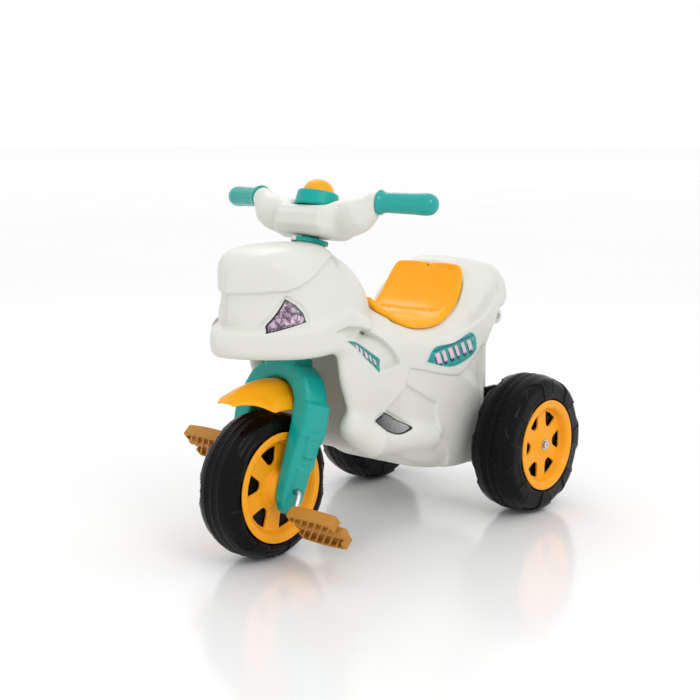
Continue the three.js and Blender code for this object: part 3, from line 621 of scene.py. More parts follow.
def body_field(x, y, z):
    x, y, z = np.broadcast_arrays(np.abs(x), y, z) if np.ndim(x) == 1 else (np.abs(x), y, z)
    head = lobe(HEAD_SIDE, HEAD_PLAN, HEAD_FRONT, x, y, z, 22)
    below = BELOW_CREASE(y, z)
    head = head + 5.0 * smoothstep(2.2, -2.2, below) * (1 - smoothstep(8, 54, -below))
    head = head + pressed(HEADLIGHT_DIP, y, z, 7.0, 1.5) * smoothstep(14, 26, x)
    lip = lobe(LIP_SIDE, LIP_PLAN, None, x, y, z, 17)
    tank = blend_max(ellipsoid(x, y, z, TANK_CENTRE, TANK_RADII), UNDERSIDE - z, 20)
    lower = lobe(LOWER_SIDE, LOWER_PLAN, LOWER_FRONT, x, y, z, 26)
    tail = lobe(TAIL_SIDE, TAIL_PLAN, None, x, y, z, 26)
    exhaust = blend_min(capsule(x, y, z, EXHAUST_PATH[0], EXHAUST_PATH[1], 18, 23),
                        capsule(x, y, z, EXHAUST_PATH[1], EXHAUST_PATH[2], 23, 15), 6)
    front = blend_min(blend_min(head, lip, 5), tank, 6)
    front = blend_min(front, ellipsoid(x, y, z, *LIP_ROOT), 6)
    flank = smoothstep(52, 74, x)
    chamfer = (z - seat_edge(y) + 0.85 * (x - 86)) * 0.76
    rear = blend_max(blend_min(lower, tail, 20), chamfer, 16) + tucked(y, z)
    shape = blend_min(front, rear, 14) + flank_relief(y, z) * flank
    shape = blend_min(shape, exhaust, 22)
    shape = blend_min(shape, neck_field(x, y, z), 5)
    drop, lap = seat_sag(x, y)
    room = np.maximum(SEAT_ROOM(y + lap, z + drop), SEAT_PLAN(x, y) - 1.2)
    return blend_max(shape, -room, 2.5)


def make_body():
    obj = net_object("body_shell", body_field, (-128, -112, 60), (128, 668, 505),
                     2.2,
                     in_layout)
    return dress(obj, WHITE, "body", "white_body", "main_body")


BODY = make_body()


# ---------------------------------------------------------------- seat
WAVE_AT, WAVE_BOW = (262, 298, 334, 368), 10.0


def seat_field(x, y, z):
    x = np.abs(x)
    drop, lap = seat_sag(x, y)
    slab = SEAT_SLAB(y + lap, z + drop)
    plan = SEAT_PLAN(x, y) + 0 * z
    shape = blend_max(slab, plan, 7)
    inner = smoothstep(9, 13.5, -plan)
    bow = y + WAVE_BOW * (1 - (x / 84) ** 2)
    waves = sum(np.exp(-((bow - at) / 3.2) ** 2) for at in WAVE_AT) * smoothstep(14, 26, -plan)
    shape = shape + 2.6 * inner + 1.5 * waves
    notch = np.sqrt(x * x + (y - 427) ** 2 + 0 * z) - 4
    return blend_max(shape, -notch, 2)


def make_seat():
    obj = net_object("seat_pad", seat_field, (-92, 176, 318), (92, 444, 444), 1.7,
                     in_layout)
    return dress(obj, GLOSSY_YELLOW, "body", "yellow_plastic", "seat")


make_seat()


# ---------------------------------------------------------------- tyres
PADS = 8
PAD_HALF = math.radians(14)


def tyre_profile(radius, rim_radius, tread_half, wall_half, well_half):
    """(radius, x) around one half of the section, from the tread's middle to the hub."""
    return np.array([(radius, 0), (radius, 4), (radius, 8), (radius, 12), (radius - 0.2, 15),
                     (radius - 0.8, 18),
                     (radius - 1.6, 22), (radius - 3.2, 26), (radius - 6, tread_half + 1),
                     (radius - 11, wall_half - 3), (radius - 17, wall_half - 0.6),
                     (rim_radius + 8, wall_half + 0.8),
                     (rim_radius + 3, wall_half + 0.6), (rim_radius + 0.4, wall_half - 0.6),
                     (rim_radius - 1.2, wall_half - 4), (rim_radius - 3, well_half + 4),
                     (rim_radius - 8, well_half), (50, well_half), (18, well_half), (16, well_half - 2)],
                     float)


def make_tyre(name, node, body, radius, rim_radius, tread_half, wall_half, well_half, knurls, pad_turn):
    steps = knurls * 6
    half = spaced_along(tyre_profile(radius, rim_radius, tread_half, wall_half, well_half), 84)
    profile = np.vstack([half[::-1] * (1, -1), half[1:]])
    tangent = np.gradient(profile, axis=0)
    normal = np.stack([tangent[:, 1], -tangent[:, 0]], 1)
    normal /= np.linalg.norm(normal, axis=1, keepdims=True)
    angle = np.arange(steps) * 2 * np.pi / steps
    r, x = profile.T
    across = np.abs(x)
    turn, r_grid = np.meshgrid(angle, r, indexing="ij")
    x_grid = np.broadcast_to(across, turn.shape)
    wave = 0.5 + 0.5 * np.cos(knurls * turn)
    on_tread = r_grid > radius - 3
    row = smoothstep(2.0, 3.0, x_grid) * (1 - smoothstep(11.5, 12.5, x_grid)) * on_tread
    ridge = (np.exp(-((x_grid - 15.5) / 0.9) ** 2) + np.exp(-(x_grid / 0.9) ** 2)) * on_tread
    height = -1.7 * row * smoothstep(0.3, 0.6, wave) + 0.6 * ridge
    period = 2 * np.pi / PADS
    phase = np.abs((turn - pad_turn + period / 2) % period - period / 2)
    top, foot = radius - 3.5, rim_radius + 9
    span = np.clip((r_grid - foot) / (top - foot), 0, 1.4)
    narrowing = PAD_HALF * np.sqrt(np.clip(1 - (np.clip(span - 0.45, 0, 0.55) / 0.55) ** 2.4, 0, 1))
    pad = smoothstep(-0.02, 0.02, narrowing - phase) * smoothstep(-0.12, 0.06, span) * (span < 1.05)
    pad *= (x_grid > 20)
    rim_line = np.exp(-((narrowing - phase) / 0.014) ** 2) * smoothstep(0.0, 0.1,
            span) * (span < 1.03) * (x_grid > 20)
    height += -2.0 * pad + 1.5 * rim_line
    lump = 0.35 * np.cos(PADS * (turn - pad_turn)) * (r_grid > rim_radius + 4)
    height -= lump + 0.35 * (r_grid > rim_radius + 4)
    radial = r_grid + height * normal[:, 0]
    sideways = profile[:, 1] + height * normal[:, 1]
    centre = np.array(box_centre(node))
    points = np.stack([sideways, radial * np.cos(turn), radial * np.sin(turn)], 2).reshape(-1, 3)
    obj = mesh_object(name, at_point(centre)(points), grid_faces(steps, len(profile), True, True))
    return dress(obj, BLACK, body, "black_plastic", node)


def make_tyres():
    make_tyre("front_tyre_skin", "front_tyre", "front_wheel", WHEEL_R, 88.6, 30.4, 39.0, 25, 162,
              math.radians(176))
    for side in ("left", "right"):
        make_tyre(f"rear_tyre_skin_{side}", f"rear_tyre_{side}", f"rear_wheel_{side}", REAR_WHEEL_R, 79.7,
                  34.5, 43.5,
                  25, 170, math.radians(157))


make_tyres()


# ---------------------------------------------------------------- wheel discs
def rim_field(outer, face, dish, hub_r, hub_face, bore, turn):
    """Dished disc with a flat lip, a raised hub and six windows wide at the rim and round at the hub."""
    section = Outline([(bore, hub_face), (hub_r - 5, hub_face), (hub_r, hub_face - 3),
                       (hub_r + 5, face - dish + 3), (hub_r + 10, face - dish + 1.2),
                       (outer - 19, face - dish), (outer - 14.5, face - 4), (outer - 11.5, face - 0.6),
                       (outer - 6, face), (outer - 1, face), (outer, face - 1), (outer, face - 3),
                       (outer - 11, face - 3.4), (outer - 14, face - 7), (outer - 19, face - dish - 3),
                       (bore, face - dish - 3)], soft=0.5, curved=False, step=0.4, margin=8)
    inner = hub_r + 0.24 * (outer - hub_r)
    window = Outline([(inner, 0), (inner + 1.5, -5.5), (inner + 6, -9), (outer - 25, -16.8),
                      (outer - 22.5, -15.8), (outer - 20.6, 0), (outer - 22.5, 15.8), (outer - 25, 16.8),
                      (inner + 6, 9), (inner + 1.5, 5.5)], soft=0.7, curved=False, step=0.4, margin=30)

    def field(x, y, z):
        radius = np.sqrt(y * y + z * z) + 0 * x
        disc = section(radius, x + 0 * radius)
        angle = np.arctan2(z, y) - turn
        angle = (angle + np.pi / 6) % (np.pi / 3) - np.pi / 6
        hole = window(radius * np.cos(angle), radius * np.sin(angle))
        collar = np.maximum(np.abs(hole + 0.4) - 1.4, np.abs(x - face + dish + 1.4) - 1.9)
        return blend_max(np.minimum(disc, collar), -hole - 0 * x, 0.8)

    return field


def make_rim(name, node, body, field, side, outer, face, depth):
    def place(p):
        return at_point((0 if "front" in node else side * REAR_AXLE.x, *wheel_centre(node)[1:]))(p * (side,
                1, 1))

    cell = 0.9
    points, quads = surface_net(field, (face - depth, -outer - 2, -outer - 2),
                                (face + 6, outer + 2, outer + 2), cell, 1)
    obj = mesh_object(name, place(points), quads if side > 0 else quads[:, ::-1])
    return dress(obj, YELLOW, body, "yellow_plastic", node)


def wheel_centre(node):
    return FRONT_AXLE if "front" in node else REAR_AXLE


def make_rims():
    front = rim_field(87.0, 40.2, 11, 24, 44.2, 4.6, math.radians(-13))
    rear = rim_field(78.4, 44.6, 14, 19, 37, 5.6, 0.0)
    for side, word in ((1, "left"), (-1, "right")):
        make_rim(f"front_disc_{word}", f"front_rim_{word}", "front_wheel", front, side, 87.0, 40.2, 18)
        make_rim(f"rear_disc_{word}", f"rear_rim_{word}", f"rear_wheel_{word}", rear, side, 78.4, 44.6, 22)


make_rims()


# ---------------------------------------------------------------- fork, in the steering frame
AXLE_LOCAL_Y, AXLE_LOCAL_Z = -14.3, -196.3
ARCH_OUTER = [(24, 8), (26, -2), (40, -6), (56, -20), (68, -42), (75, -68), (76.5, -90), (75, -120),
              (75, -150)]
ARCH_INNER = [(44.5, -150), (44.5, -85), (41, -62), (32, -43), (18, -31), (0, -27)]
LEG_SIDE = [(27, -60), (27, -119), (24.5, -124), (21, -126), (21, -158), (18, -164), (14, -168), (12, -196),
            (8.5, -214), (0, -228), (-13, -235.5), (-26, -230), (-35, -214), (-36, -194), (-33, -150),
            (-27, -100),
            (-25, -60)]


def fork_field():
    arch = Outline([(x, z) for x, z in ARCH_OUTER] + ARCH_INNER + [(-x, z) for x, z in ARCH_INNER[-2::-1]]
                   + [(-x, z) for x, z in ARCH_OUTER[::-1]], soft=2.5, curved=False, margin=30)
    leg = Outline(LEG_SIDE, soft=2.0, curved=False, margin=30)
    taper = Outline([(44.5, -40), (44.5, -240), (66, -240), (68, -196), (70.5, -150), (74, -118),
                     (77, -90), (77, -40)], soft=2.0, curved=False, margin=40)
    panels = [((-2, -124), (13.5, 21)), ((-9, -176), (13.5, 20))]

    def field(x, y, z):
        x = np.abs(x)
        bow = blend_max(arch(x, z + 0 * x), np.abs(y) - 25 + 0 * x + 0 * z, 9)
        bow = np.maximum(bow, -150 - z + 0 * x)
        side = blend_max(leg(y + 0 * z, z + 0 * y) + 0 * x, taper(x, z + 0 * x) + 0 * y, 7)
        shape = blend_min(np.maximum(bow, -110 - z), side, 6)
        for (cy, cz), (hy, hz) in panels:
            v, w = np.abs(y - cy) - hy + 6, np.abs(z - cz) - hz + 6
            plate = np.sqrt(np.maximum(v, 0) ** 2 + np.maximum(w, 0) ** 2) + np.minimum(np.maximum(v, w),
                    0) - 6
            foot = np.exp(-((z - cz + hz - 2.5) / 2.0) ** 2) * smoothstep(1, -3, np.abs(y - cy) - hy + 3)
            shape = shape - (3.2 * smoothstep(1.0, -1.0, plate) + 1.2 * foot) * smoothstep(58, 64, x)
        stem = np.maximum(np.sqrt(x * x + y * y) - 14, np.abs(z - 112) - 122)
        neck = round_box(x, y, z, (0, 0, -4), (27, 26, 11), 6)
        shape = blend_min(blend_min(shape, neck, 6), stem + 0 * shape, 2)
        hole = np.sqrt((y - AXLE_LOCAL_Y) ** 2 + (z - AXLE_LOCAL_Z) ** 2) - 4.7
        return blend_max(shape, -hole + 0 * x, 1.2)

    return field


def make_fork():
    cell = 1.8
    obj = net_object("fork_moulding", fork_field(), (-82, -44, -242), (82, 32, 240), cell, in_steering, 2)
    dress(obj, SATIN_TEAL, "steering", "teal_plastic", "fork")


make_fork()


# ---------------------------------------------------------------- handlebar, grips and horn
def bar_field(x, y, z):
    x = np.abs(x)
    core = round_box(x, y, z, (0, 1, 222), (58, 37, 24), 15)
    shoulder = capsule(x, y, z, (54, 0, 236), (92, 0, 236), 22, 24)
    neck = capsule(x, y, z, (92, 0, 237), (118, 3.4, 256), 24, 18.4)
    foot = capsule(x, y, z, (60, 8, 214), (78, 2, 222), 17, 17)
    shape = blend_min(blend_min(blend_min(core, shoulder, 12), neck, 10), foot, 14)
    panel = round_box(x, y, z, (0, -33, 221), (46, 7, 13), 6)
    shape = blend_min(shape, panel, 4)
    seat = np.maximum(np.sqrt(x * x + (y - 2) ** 2) - 38.5, 246 - z)
    shape = blend_max(shape, -seat, 3)
    shape = blend_max(shape, 194.6 - z + 0 * x + 0 * y, 4)
    tip = (x - 122.4) * 0.956 + (y - 4.2) * 0.28 + (z - 258.6) * 0.05
    return blend_max(shape, tip, 3)


def make_handlebar():
    cell = 1.7
    obj = net_object("handlebar_moulding", bar_field, (-142, -56, 186), (142, 48, 286), cell, in_steering,
                     2)
    dress(obj, WHITE, "steering", "white_body", "handlebar")


def turned_rows(profile, steps, flute=None):
    """Rings of points about the Z axis from an open (radius, z) profile."""
    profile = np.array(profile, float)
    angle = np.arange(steps) * 2 * np.pi / steps
    radius = profile[:, 0][None, :] * np.ones((steps, 1))
    height = profile[:, 1][None, :] * np.ones((steps, 1))
    if flute is not None:
        radius = radius - flute(angle[:, None], height)
    return np.stack([radius * np.cos(angle[:, None]), radius * np.sin(angle[:, None]), height],
                    2).reshape(-1, 3)


GRIP_START, GRIP_END = np.array([123, 4.4, 259.0]), np.array([216, 30.6, 263.7])


def make_grip(side, word):
    start, end = GRIP_START * (side, 1, 1), GRIP_END * (side, 1, 1)
    length = np.linalg.norm(end - start)
    along = (end - start) / length
    first = np.cross(along, (0, 0, 1.0))
    first /= np.linalg.norm(first)
    second = np.cross(along, first)
    outline = [(11, 0.5), (18.2, 0.5), (19.3, 1.8), (19.3, 4.4), (18.0, 6.6), (16.6, 9.5), (15.6, 15),
               (15.9, 30),
               (16.1, 50), (16.6, 64), (17.1, 74), (16.8, 81), (15.4, 87), (12.6, 91.6), (8.6, 94.8),
               (4.4, length - 0.5), (0.4, length)]
    profile = spaced_along(np.array(outline, float), 90)

    def flute(angle, height):
        body = smoothstep(12, 20, height) * (1 - smoothstep(68, 78, height))
        return 0.55 * body * (0.5 + 0.5 * np.cos(10 * angle)) ** 3

    rows = turned_rows(profile, 120, flute)
    points = start + rows[:, :1] * first + rows[:, 1:2] * second + rows[:, 2:3] * along
    obj = mesh_object(f"grip_sleeve_{word}", in_steering(points), grid_faces(120, len(profile), True))
    dress(obj, GLOSSY_TEAL, "steering", "teal_plastic", f"grip_{word}")


HORN_Y, HORN_BASE = 2, 246.6


def horn_housing_field(x, y, z):
    y, z = y - HORN_Y, z - HORN_BASE
    angle = np.arctan2(y, x)
    radius = np.sqrt(x * x + y * y)
    wall = 36.4 - 0.13 * z
    lobes = 0.8 * np.cos(4 * angle)
    body = blend_max(radius - wall - lobes, np.abs(z - 12) - 12, 5)
    well = blend_max(radius - 27.2, 3 - z, 2)
    return blend_max(body, -well, 1.5)


def make_horn():
    obj = net_object("horn_base", horn_housing_field, (-40, -38, 244), (40, 42, 274), 1.1, in_steering, 2)
    dress(obj, TEAL, "steering", "teal_plastic", "horn_housing")
    dome = [(0.2, 44.2), (6, 43.6), (12, 41.6), (18, 37.6), (22, 32.6), (24.4, 27.2), (25.4, 23), (26, 20),
            (26, 10),
            (25.4, 6.2), (0.2, 6)]
    profile = spaced_along(np.array(dome, float), 70) + (0, HORN_BASE)
    rows = turned_rows(profile, 96) + (0, HORN_Y, 0)
    button = mesh_object("horn_dome", in_steering(rows), grid_faces(96, len(profile), True, flip=True))
    dress(button, YELLOW, "horn_button", "yellow_plastic", "horn_button")


make_handlebar()
make_grip(1, "left")
make_grip(-1, "right")
make_horn()


# ---------------------------------------------------------------- front fender
FENDER_FRONT, FENDER_REAR, FENDER_RIDGE = math.radians(120), math.radians(31), 165


def fender_layer(rows, columns, offset):
    t, side = np.meshgrid(np.linspace(0, 1, rows), np.linspace(-1, 1, columns), indexing="ij")
    angle = FENDER_FRONT + (FENDER_REAR - FENDER_FRONT) * t
    opened = np.minimum(1, (t + 0.03) * 3.4) * np.minimum(1, (1 - t + 0.06) * 2.6)
    opened = smoothstep(-0.35, 1.08, opened) * 1.02
    half = 42 * np.sin(np.minimum(opened, 1) * np.pi / 2)
    drop = 38 * opened ** 2
    lift = 3.5 * np.exp(-((np.abs(side) - 0.62) / 0.16) ** 2) * smoothstep(0.05, 0.3, t)
    ridge = 1.6 * np.exp(-(side / 0.09) ** 2) * smoothstep(0.02, 0.15, t)
    edge = 1.6 * smoothstep(0.9, 1.0, np.abs(side))
    radius = FENDER_RIDGE + offset - drop * np.abs(side) ** 2.2 - lift + ridge - edge
    return np.stack([half * side, radius * np.cos(angle), WHEEL_R + radius * np.sin(angle)], 2).reshape(-1,
            3)


def closed_slab(upper, lower, rows, columns):
    """Faces of a thin closed sheet between two grids of points."""
    top = grid_faces(rows, columns)
    count = rows * columns
    bottom = top[:, ::-1] + count
    rim = [(i, 0) for i in range(rows)] + [(rows - 1, j) for j in range(1, columns)]
    rim += [(i, columns - 1) for i in range(rows - 2, -1, -1)] + [(0, j) for j in range(columns - 2, 0, -1)]
    loop = np.array([i * columns + j for i, j in rim])
    ahead = np.roll(loop, -1)
    wall = np.stack([loop, loop + count, ahead + count, ahead], 1)
    return np.vstack([upper, lower]), np.vstack([top, bottom, wall])


def make_fender():
    rows, columns = 72, 49
    points, faces = closed_slab(fender_layer(rows, columns, 0), fender_layer(rows, columns, -3), rows,
                                columns)
    obj = mesh_object("fender_shell", in_layout(points), faces)
    bevel = obj.modifiers.new("rounded_edge", "BEVEL")
    bevel.width, bevel.segments, bevel.limit_method, bevel.angle_limit = 0.0011, 3, "ANGLE", math.radians(50)
    dress(obj, GLOSSY_YELLOW, "steering", "yellow_plastic", "front_fender")


make_fender()


# ---------------------------------------------------------------- crank, pedals
THROW = np.array([0.0, -28.0, -37.0])
CRANK_PATH = [(-188, -1), (-150, -1), (-110, -1), (-94, -1), (-88.5, -0.93), (-84.5, -0.8), (-78.5, -0.2),
              (-75, -0.05), (-70, 0), (-30, 0), (30, 0), (70, 0), (75, 0.05), (78.5, 0.2), (84.5, 0.8),
              (88.5, 0.93), (94, 1), (110, 1), (150, 1), (188, 1)]


def swept(path, radius, steps=24):
    """Rings of points around a path, closed at both ends by a small rounded tip."""
    path = spaced_along(np.array(path, float), 160)
    tangent = np.gradient(path, axis=0)
    tangent /= np.linalg.norm(tangent, axis=1, keepdims=True)
    first = np.cross(tangent, (0.0, 0.8, -0.6))
    first /= np.linalg.norm(first, axis=1, keepdims=True)
    second = np.cross(tangent, first)
    angle = np.arange(steps) * 2 * np.pi / steps
    sizes = np.full(len(path), radius)
    ring = first[:, None] * np.cos(angle)[None, :, None] + second[:, None] * np.sin(angle)[None, :, None]
    points = path[:, None] + ring * sizes[:, None, None]
    ends = [path[0] + ring[0] * radius * f - tangent[0] * radius * g for f, g in ((0.02, 0.5), (0.7, 0.4))]
    tips = [path[-1] + ring[-1] * radius * f + tangent[-1] * radius * g for f,
            g in ((0.7, 0.4), (0.02, 0.5))]
    return np.concatenate([np.array(ends), points, np.array(tips)])


def make_crank():
    path = [np.array([x, 0, 0]) + THROW * turn for x, turn in CRANK_PATH]
    rings = swept(path, 4.0)
    rows, steps = rings.shape[:2]
    obj = mesh_object("crank_rod", at_point(FRONT_AXLE)(rings.reshape(-1, 3)),
                      grid_faces(rows, steps, False, True))
    dress(obj, STEEL, "front_wheel", "plated_steel", "crank_axle")


PEDAL_TILT = math.radians(50)


def pedal_field(x, y, z):
    """Flat block with bowed treads, slanted ribs over a thin web, and a tube that stands out at its ends."""
    bow = 3.6 * (1 - ((x - 44) / 44) ** 2)
    tread = np.abs(y) - 29.4 - bow
    block = blend_max(blend_max(tread + 0 * z, np.abs(z) - 10 + 0 * y + 0 * x, 3),
                      np.abs(x - 44) - 44 + 0 * y, 2.5)
    rib = np.abs((0.77 * x - 0.64 * y * np.sign(z + 1e-6) + 3) % 10.4 - 5.2) - 3.7
    pocket = blend_max(rib + 0 * z, np.abs(y) - 24.5 - bow + 0 * x, 1.5)
    pocket = blend_max(pocket, np.abs(x - 44) - 40 + 0 * y, 1.5)
    pocket = np.maximum(pocket, 2.0 - np.abs(z))
    shape = blend_max(block, -pocket, 0.8)
    notch = blend_max(np.abs(y) - 13 + 0 * x, 36.5 - np.abs(x - 44), 3)
    shape = blend_max(shape, -notch + 0 * z, 1.5)
    tube = blend_max(np.sqrt(y * y + z * z) - 8.2 + 0 * x, np.abs(x - 48) - 48.5, 5)
    shape = blend_min(shape, tube + 0 * shape, 1.5)
    bore = np.maximum(np.sqrt(y * y + z * z) - 4.4, x - 93)
    return blend_max(shape, -bore, 0.6)


def tilted(points, angle):
    y, z = points[:, 1], points[:, 2]
    return np.stack([points[:, 0], y * math.cos(angle) - z * math.sin(angle),
                     y * math.sin(angle) + z * math.cos(angle)], 1)


def make_pedals():
    cell = 1.0
    points, quads = surface_net(pedal_field, (-3, -37, -13), (100, 37, 13), cell, 1)
    for side, word in ((1, "left"), (-1, "right")):
        centre = np.array(FRONT_AXLE) + side * THROW * MM + np.array([side * 96 * MM, 0, 0])
        turned = tilted(points * (side, side, 1), -PEDAL_TILT)
        obj = mesh_object(f"pedal_block_{word}", at_point(centre)(turned), quads)
        dress(obj, AMBER, f"pedal_{word}", "amber_plastic", f"pedal_{word}")


make_crank()
make_pedals()


# ---------------------------------------------------------------- collar, axle plates, tow lug, hubs
def collar_field(x, y, z):
    radius = np.sqrt(x * x + y * y)
    ring = blend_max(radius - 30, np.abs(z - 190.6) - 3.3, 1.6)
    waist = np.sqrt((radius - 30.6) ** 2 + (z - 190.6) ** 2) - 1.3
    bore = radius - 15
    return blend_max(blend_max(ring, -waist, 0.8), -bore + 0 * ring, 0.8)


def make_collar():
    obj = net_object("collar_ring", collar_field, (-32, -32, 185), (32, 32, 196), 0.9, in_steering, 2)
    dress(obj, TEAL, "body", "teal_plastic", "steering_collar")
    key = net_object("collar_key",
                     lambda x, y, z: round_box(x, y, z, (-7, -29.3, 190.8), (4.5, 2.2, 3.4), 1.0),
                     (-13, -33, 186), (-1, -26, 196), 0.6, in_steering, 2)
    dress(key, WHITE, "body", "white_body")


BRACKET_SIDE = Outline([(456, 211), (490, 211), (494, 206), (496, 150), (494, 108), (490, 104),
                        (466, 104), (462, 108), (456, 150)], soft=0.8, curved=False, step=1)


def bracket_field(x, y, z):
    plate = blend_max(BRACKET_SIDE(y, z) + 0 * x, np.abs(x - 102) - 4, 1.5)
    inset = np.maximum(BRACKET_SIDE(y, z) + 5 + 0 * x, 104.2 - x)
    ribs = np.abs((z - 104) % 27 - 13.5) - 11.6
    radius = np.sqrt((y - 479) ** 2 + (z - 120) ** 2)
    inset = np.maximum(np.maximum(inset, ribs + 0 * x + 0 * y), 13 - radius + 0 * x)
    return blend_max(blend_max(plate, -inset, 0.8), 5.4 - radius + 0 * x, 0.8)


def make_brackets():
    points, quads = surface_net(bracket_field, (96, 450, 100), (108, 500, 214), 1.1, 1)
    for side, word in ((1, "left"), (-1, "right")):
        obj = mesh_object(f"axle_plate_{word}", in_layout(points * (side, 1, 1)),
                          quads if side > 0 else quads[:, ::-1])
        dress(obj, BLACK, "body", "black_plastic", f"axle_bracket_{word}")


def lug_field(x, y, z):
    ring = blend_max(np.sqrt((y - 631) ** 2 + (z - 310) ** 2) - 15, np.abs(x) - 9, 3)
    web = round_box(x, y, z, (0, 618, 334), (9, 14, 22), 4)
    eye = np.sqrt((y - 632) ** 2 + (z - 309) ** 2) - 6
    lip = np.sqrt((np.sqrt((y - 632) ** 2 + (z - 309) ** 2) - 7.6) ** 2 + (np.abs(x) - 9) ** 2) - 1.5
    shape = blend_min(blend_min(ring, web, 5), lip, 1)
    return blend_max(shape, -eye + 0 * x, 1.2)


def make_lug():
    obj = net_object("tow_eye", lug_field, (-13, 598, 290), (13, 650, 362), 1.2, in_layout)
    dress(obj, WHITE, "body", "white_body", "tow_lug")


def washer_rows():
    outline = np.array([(3.5, 0.1), (8.6, 0.1), (9, 0.4), (9, 1.1), (8.6, 1.45), (5, 1.5), (3.5, 1.4)],
                       float)
    return outline


def screw_field(x, y, z):
    radius = np.sqrt(x * x + y * y)
    head = blend_max(radius - 6.4, np.abs(z - 9.6) - 1.9, 1.0)
    dome = np.sqrt(x * x + y * y + (z + 0.4) ** 2) - 13.2
    head = blend_max(head, dome, 0.8)
    shank = np.maximum(radius - 2.9, np.abs(z - 4.5) - 4.4)
    slot = np.minimum(np.maximum(np.abs(x) - 0.85, np.abs(y) - 3.4),
                      np.maximum(np.abs(y) - 0.85, np.abs(x) - 3.4))
    slot = np.maximum(slot - 0.09 * (z - 11), 10.0 - z)
    return blend_max(blend_min(head, shank, 0.5), -slot, 0.3)


def make_fasteners():
    screw_points, screw_quads = surface_net(screw_field, (-7.5, -7.5, -1), (7.5, 7.5, 14), 0.35, 1)
    outline = spaced_along(np.vstack([washer_rows(), washer_rows()[:1]]), 40)[:-1]
    ring = turned_rows(outline, 64)
    for side, word in ((1, "left"), (-1, "right")):
        for name, points, faces, reach in (
                ("hub_screw", screw_points, screw_quads, 206.6),
                ("hub_washer", ring, grid_faces(64, len(outline), True, True), 212.3)):
            turned = np.stack([side * (points[:, 2] + reach), -side * points[:, 0], points[:, 1]], 1)
            place = at_point((0, REAR_AXLE.y, REAR_AXLE.z))
            obj = mesh_object(f"{name}_{word}_detail", place(turned), faces)
            dress(obj, STEEL, "body", "plated_steel", f"{name}_{word}")


make_collar()
make_brackets()
make_lug()
make_fasteners()


# ---------------------------------------------------------------- printed labels
def store(obj, name, values):
    attribute = obj.data.attributes.new(name, "FLOAT", "POINT")
    attribute.data.foreach_set("value", np.asarray(values, np.float32))


def attribute_value(tree, name):
    node = add(tree, "ShaderNodeAttribute")
    node.attribute_name = name
    return node.outputs["Fac"]


def calc(tree, operation, a, b=None, clamp=False):
    node = add(tree, "ShaderNodeMath", operation=operation, use_clamp=clamp)
    for socket, value in zip(node.inputs, (a, b)):
        if value is None:
            continue
        if isinstance(value, (int, float)):
            socket.default_value = value
        else:
            tree.links.new(value, socket)
    return node.outputs["Value"]


def between(tree, value, low, high, soft=0.02):
    rise = spread(tree, value, 0.0, 1.0, low - soft, low + soft)
    fall = spread(tree, value, 1.0, 0.0, high - soft, high + soft)
    return calc(tree, "MULTIPLY", rise, fall)


def layered(tree, base, *layers):
    """Colours laid one over another, each with its own mask."""
    for mask, color in layers:
        mix = add(tree, "ShaderNodeMix", data_type="RGBA")
        tree.links.new(mask, mix.inputs["Factor"])
        tree.links.new(base, mix.inputs["A"])
        if isinstance(color, tuple):
            mix.inputs["B"].default_value = (*color, 1)
        else:
            tree.links.new(color, mix.inputs["B"])
        base = mix.outputs["Result"]
    return base


def dashes(tree, along, across, count, slant, fill, low, high, shift=0.0):
    """A row of slanted bars, of two alternating widths."""
    lean = calc(tree, "ADD", calc(tree, "MULTIPLY", along, count), calc(tree, "MULTIPLY", across, slant))
    lean = calc(tree, "ADD", lean, shift)
    wave = calc(tree, "FRACT", lean)
    wide = calc(tree, "MULTIPLY", calc(tree, "FRACT", calc(tree, "MULTIPLY", lean, 0.37)), 0.22)
    bar = calc(tree, "LESS_THAN", wave, calc(tree, "ADD", wide, fill))
    return calc(tree, "MULTIPLY", bar, between(tree, across, low, high, 0.03))


def film_material(name):
    material, tree, shader = new_material(name)
    where = object_position(tree)
    tree.links.new(spread(tree, noise(tree, where, 60.0), 0.2, 0.34), shader.inputs["Roughness"])
    tree.links.new(bump(tree, noise(tree, where, 500.0), 0.05, 0.0002), shader.inputs["Normal"])
    shader.inputs["Specular IOR Level"].default_value = 0.35
    return material, tree, shader, where


def stripe_label_material(name, count, low, high):
    material, tree, shader, where = film_material(name)
    along, across, ring = (attribute_value(tree, key) for key in ("along", "across", "ring"))
    base = ramp(tree, noise(tree, where, 40.0), [(0.3, linear((14, 132, 130))),
                                                 (0.7, linear((30, 160, 152)))])
    shadow = dashes(tree, along, across, count, 0.9, 0.42, low - 0.12, high - 0.12, 0.16)
    bars = dashes(tree, along, across, count, 0.9, 0.42, low, high)
    span = between(tree, along, 0.14, 0.93, 0.01)
    line = between(tree, across, high + 0.08, high + 0.12, 0.015)
    color = layered(tree, base, (calc(tree, "MULTIPLY", shadow, span), linear((18, 38, 84))),
                    (calc(tree, "MULTIPLY", bars, span), linear((226, 196, 206))),
                    (calc(tree, "MULTIPLY", line, span), linear((24, 60, 96))),
                    (between(tree, ring, 0.95, 2.0, 0.012), linear((196, 226, 220))))
    tree.links.new(color, shader.inputs["Base Color"])
    return material


def mesh_label_material():
    material, tree, shader, where = film_material("vent_print")
    along, ring = attribute_value(tree, "along"), attribute_value(tree, "ring")
    base = ramp(tree, along, [(0.05, linear((38, 40, 44))), (0.45, linear((120, 122, 124))),
                              (0.95, linear((176, 176, 172)))])
    cells = add(tree, "ShaderNodeTexVoronoi", feature="F1")
    cells.inputs["Scale"].default_value = 430.0
    cells.inputs["Randomness"].default_value = 0.25
    tree.links.new(where, cells.inputs["Vector"])
    dots = spread(tree, cells.outputs["Distance"], 1.0, 0.0, 0.24, 0.34)
    color = layered(tree, base, (dots, linear((22, 22, 25))),
                    (between(tree, ring, 0.86, 2.0, 0.015), linear((12, 12, 13))))
    tree.links.new(color, shader.inputs["Base Color"])
    return material


